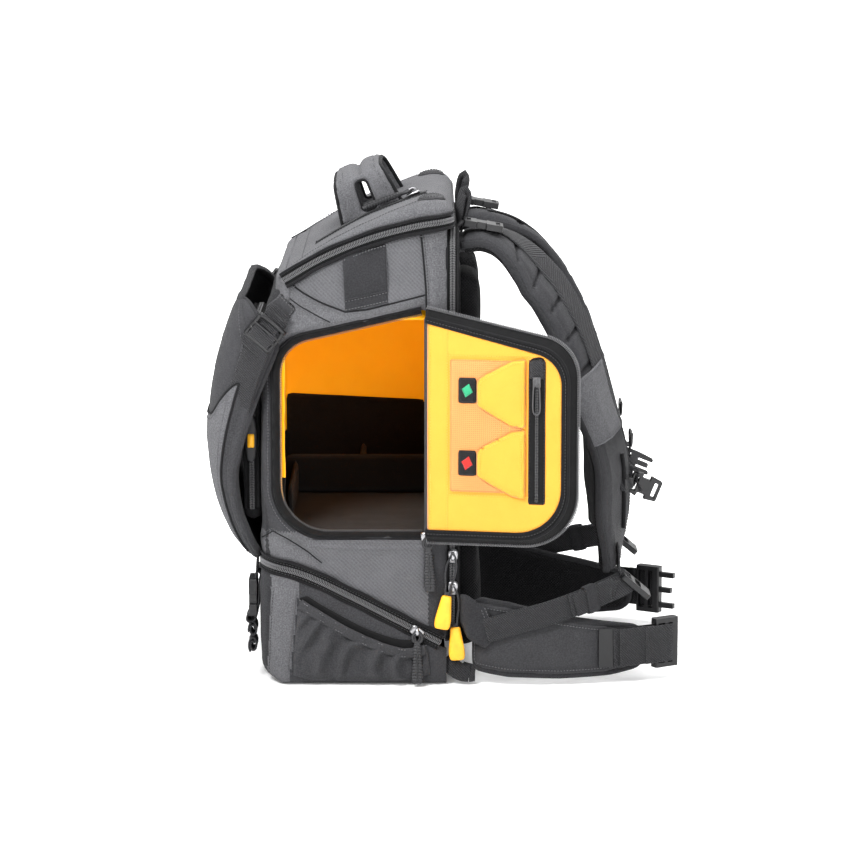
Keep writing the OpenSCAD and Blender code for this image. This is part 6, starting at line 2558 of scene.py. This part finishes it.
# ------------------------------------------------------------------ gathered piping, stitches
for body, shapes in PIPING.items():
    mesh("piping_" + body, shapes, "piping", body)
for (body, dark), shapes in STITCHING.items():
    mesh("stitching_" + ("dark_" if dark else "light_") + body, shapes,
         "stitch_d" if dark else "stitch", body)

# ------------------------------------------------------------------ floor (from here in metres)
edit = bmesh.new()
bmesh.ops.create_grid(edit, x_segments=1, y_segments=1, size=60.0)
data = bpy.data.meshes.new("floor")
edit.to_mesh(data)
edit.free()
floor = add_object("floor", data)
shader = Shader("floor_white")
# the floor glows white away from the bag, so only the contact shadow stays
distance = shader.node("VectorMath")
distance.operation = "LENGTH"
shader.feed(distance, 0, shader.node("NewGeometry").outputs["Position"])
fade = shader.node("MapRange")
fade.interpolation_type = "SMOOTHSTEP"
for key, value in {"Value": distance.outputs["Value"], "From Min": 0.2, "From Max": 1.1,
                   "To Min": 0.1, "To Max": 1.0}.items():
    shader.feed(fade, key, value)
data.materials.append(shader.finish(
    Base_Color=(0.93, 0.93, 0.93), Roughness=0.8, Specular_IOR_Level=0.1,
    Emission_Color=(1, 1, 1), Emission_Strength=fade.outputs[0]))
floor.location = (0, 0, -0.0006)
floor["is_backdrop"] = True

# ------------------------------------------------------------------ world, lights, camera
scene = bpy.context.scene
world = bpy.data.worlds.new("studio")
scene.world = world
world.use_nodes = True
nodes, links = world.node_tree.nodes, world.node_tree.links
background = nodes["Background"]
background.inputs[0].default_value = (1, 1, 1, 1)
# the camera sees full white, the bag is lit by a dimmer one
strength = nodes.new("ShaderNodeMapRange")
strength.inputs["To Min"].default_value = 0.36
strength.inputs["To Max"].default_value = 1.0
camera_ray = nodes.new("ShaderNodeLightPath").outputs["Is Camera Ray"]
links.new(camera_ray, strength.inputs["Value"])
links.new(strength.outputs[0], background.inputs[1])


def area_light(name, location, target, size, power):
    light = bpy.data.lights.new(name, "AREA")
    light.energy = power
    light.shape = "RECTANGLE"
    light.size, light.size_y = size
    light.color = (1, 1, 1)
    ob = add_object(name, light)
    ob.location = location
    aim = Vector(target) - Vector(location)
    ob.rotation_euler = aim.to_track_quat("-Z", "Y").to_euler()


area_light("key", location=(1.7, -0.9, 1.9), target=(0, 0, 0.25), size=(0.8, 0.8), power=62)
area_light("top", location=(0.1, 0.1, 2.2), target=(0, 0, 0.2), size=(1.6, 1.6), power=42)
area_light("fill", location=(2.6, 0.7, 1.0), target=(0, 0.0, 0.25), size=(1.2, 1.0), power=24)
area_light("back", location=(-1.6, 0.6, 1.6), target=(0, 0, 0.3), size=(1.4, 1.0), power=16)

lens = bpy.data.cameras.new("camera")
lens.sensor_width = 36
lens.lens = 143.46
lens.clip_end = 50
camera = add_object("camera", lens)
camera.location = (3.333, 0.0642, 0.805)
pitch = math.radians(9.9)
aim = Vector((-math.cos(pitch), 0, -math.sin(pitch)))
camera.rotation_euler = aim.to_track_quat("-Z", "Y").to_euler()
scene.camera = camera
scene.view_settings.view_transform = "Standard"
scene.view_settings.look = "Medium High Contrast"
scene.view_settings.exposure = 0.0

boxes = {"cad": cad_box, "visual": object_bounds()}
({key: [[float(c) for c in corner] for corner in corners]
           for key, corners in boxes.items()})
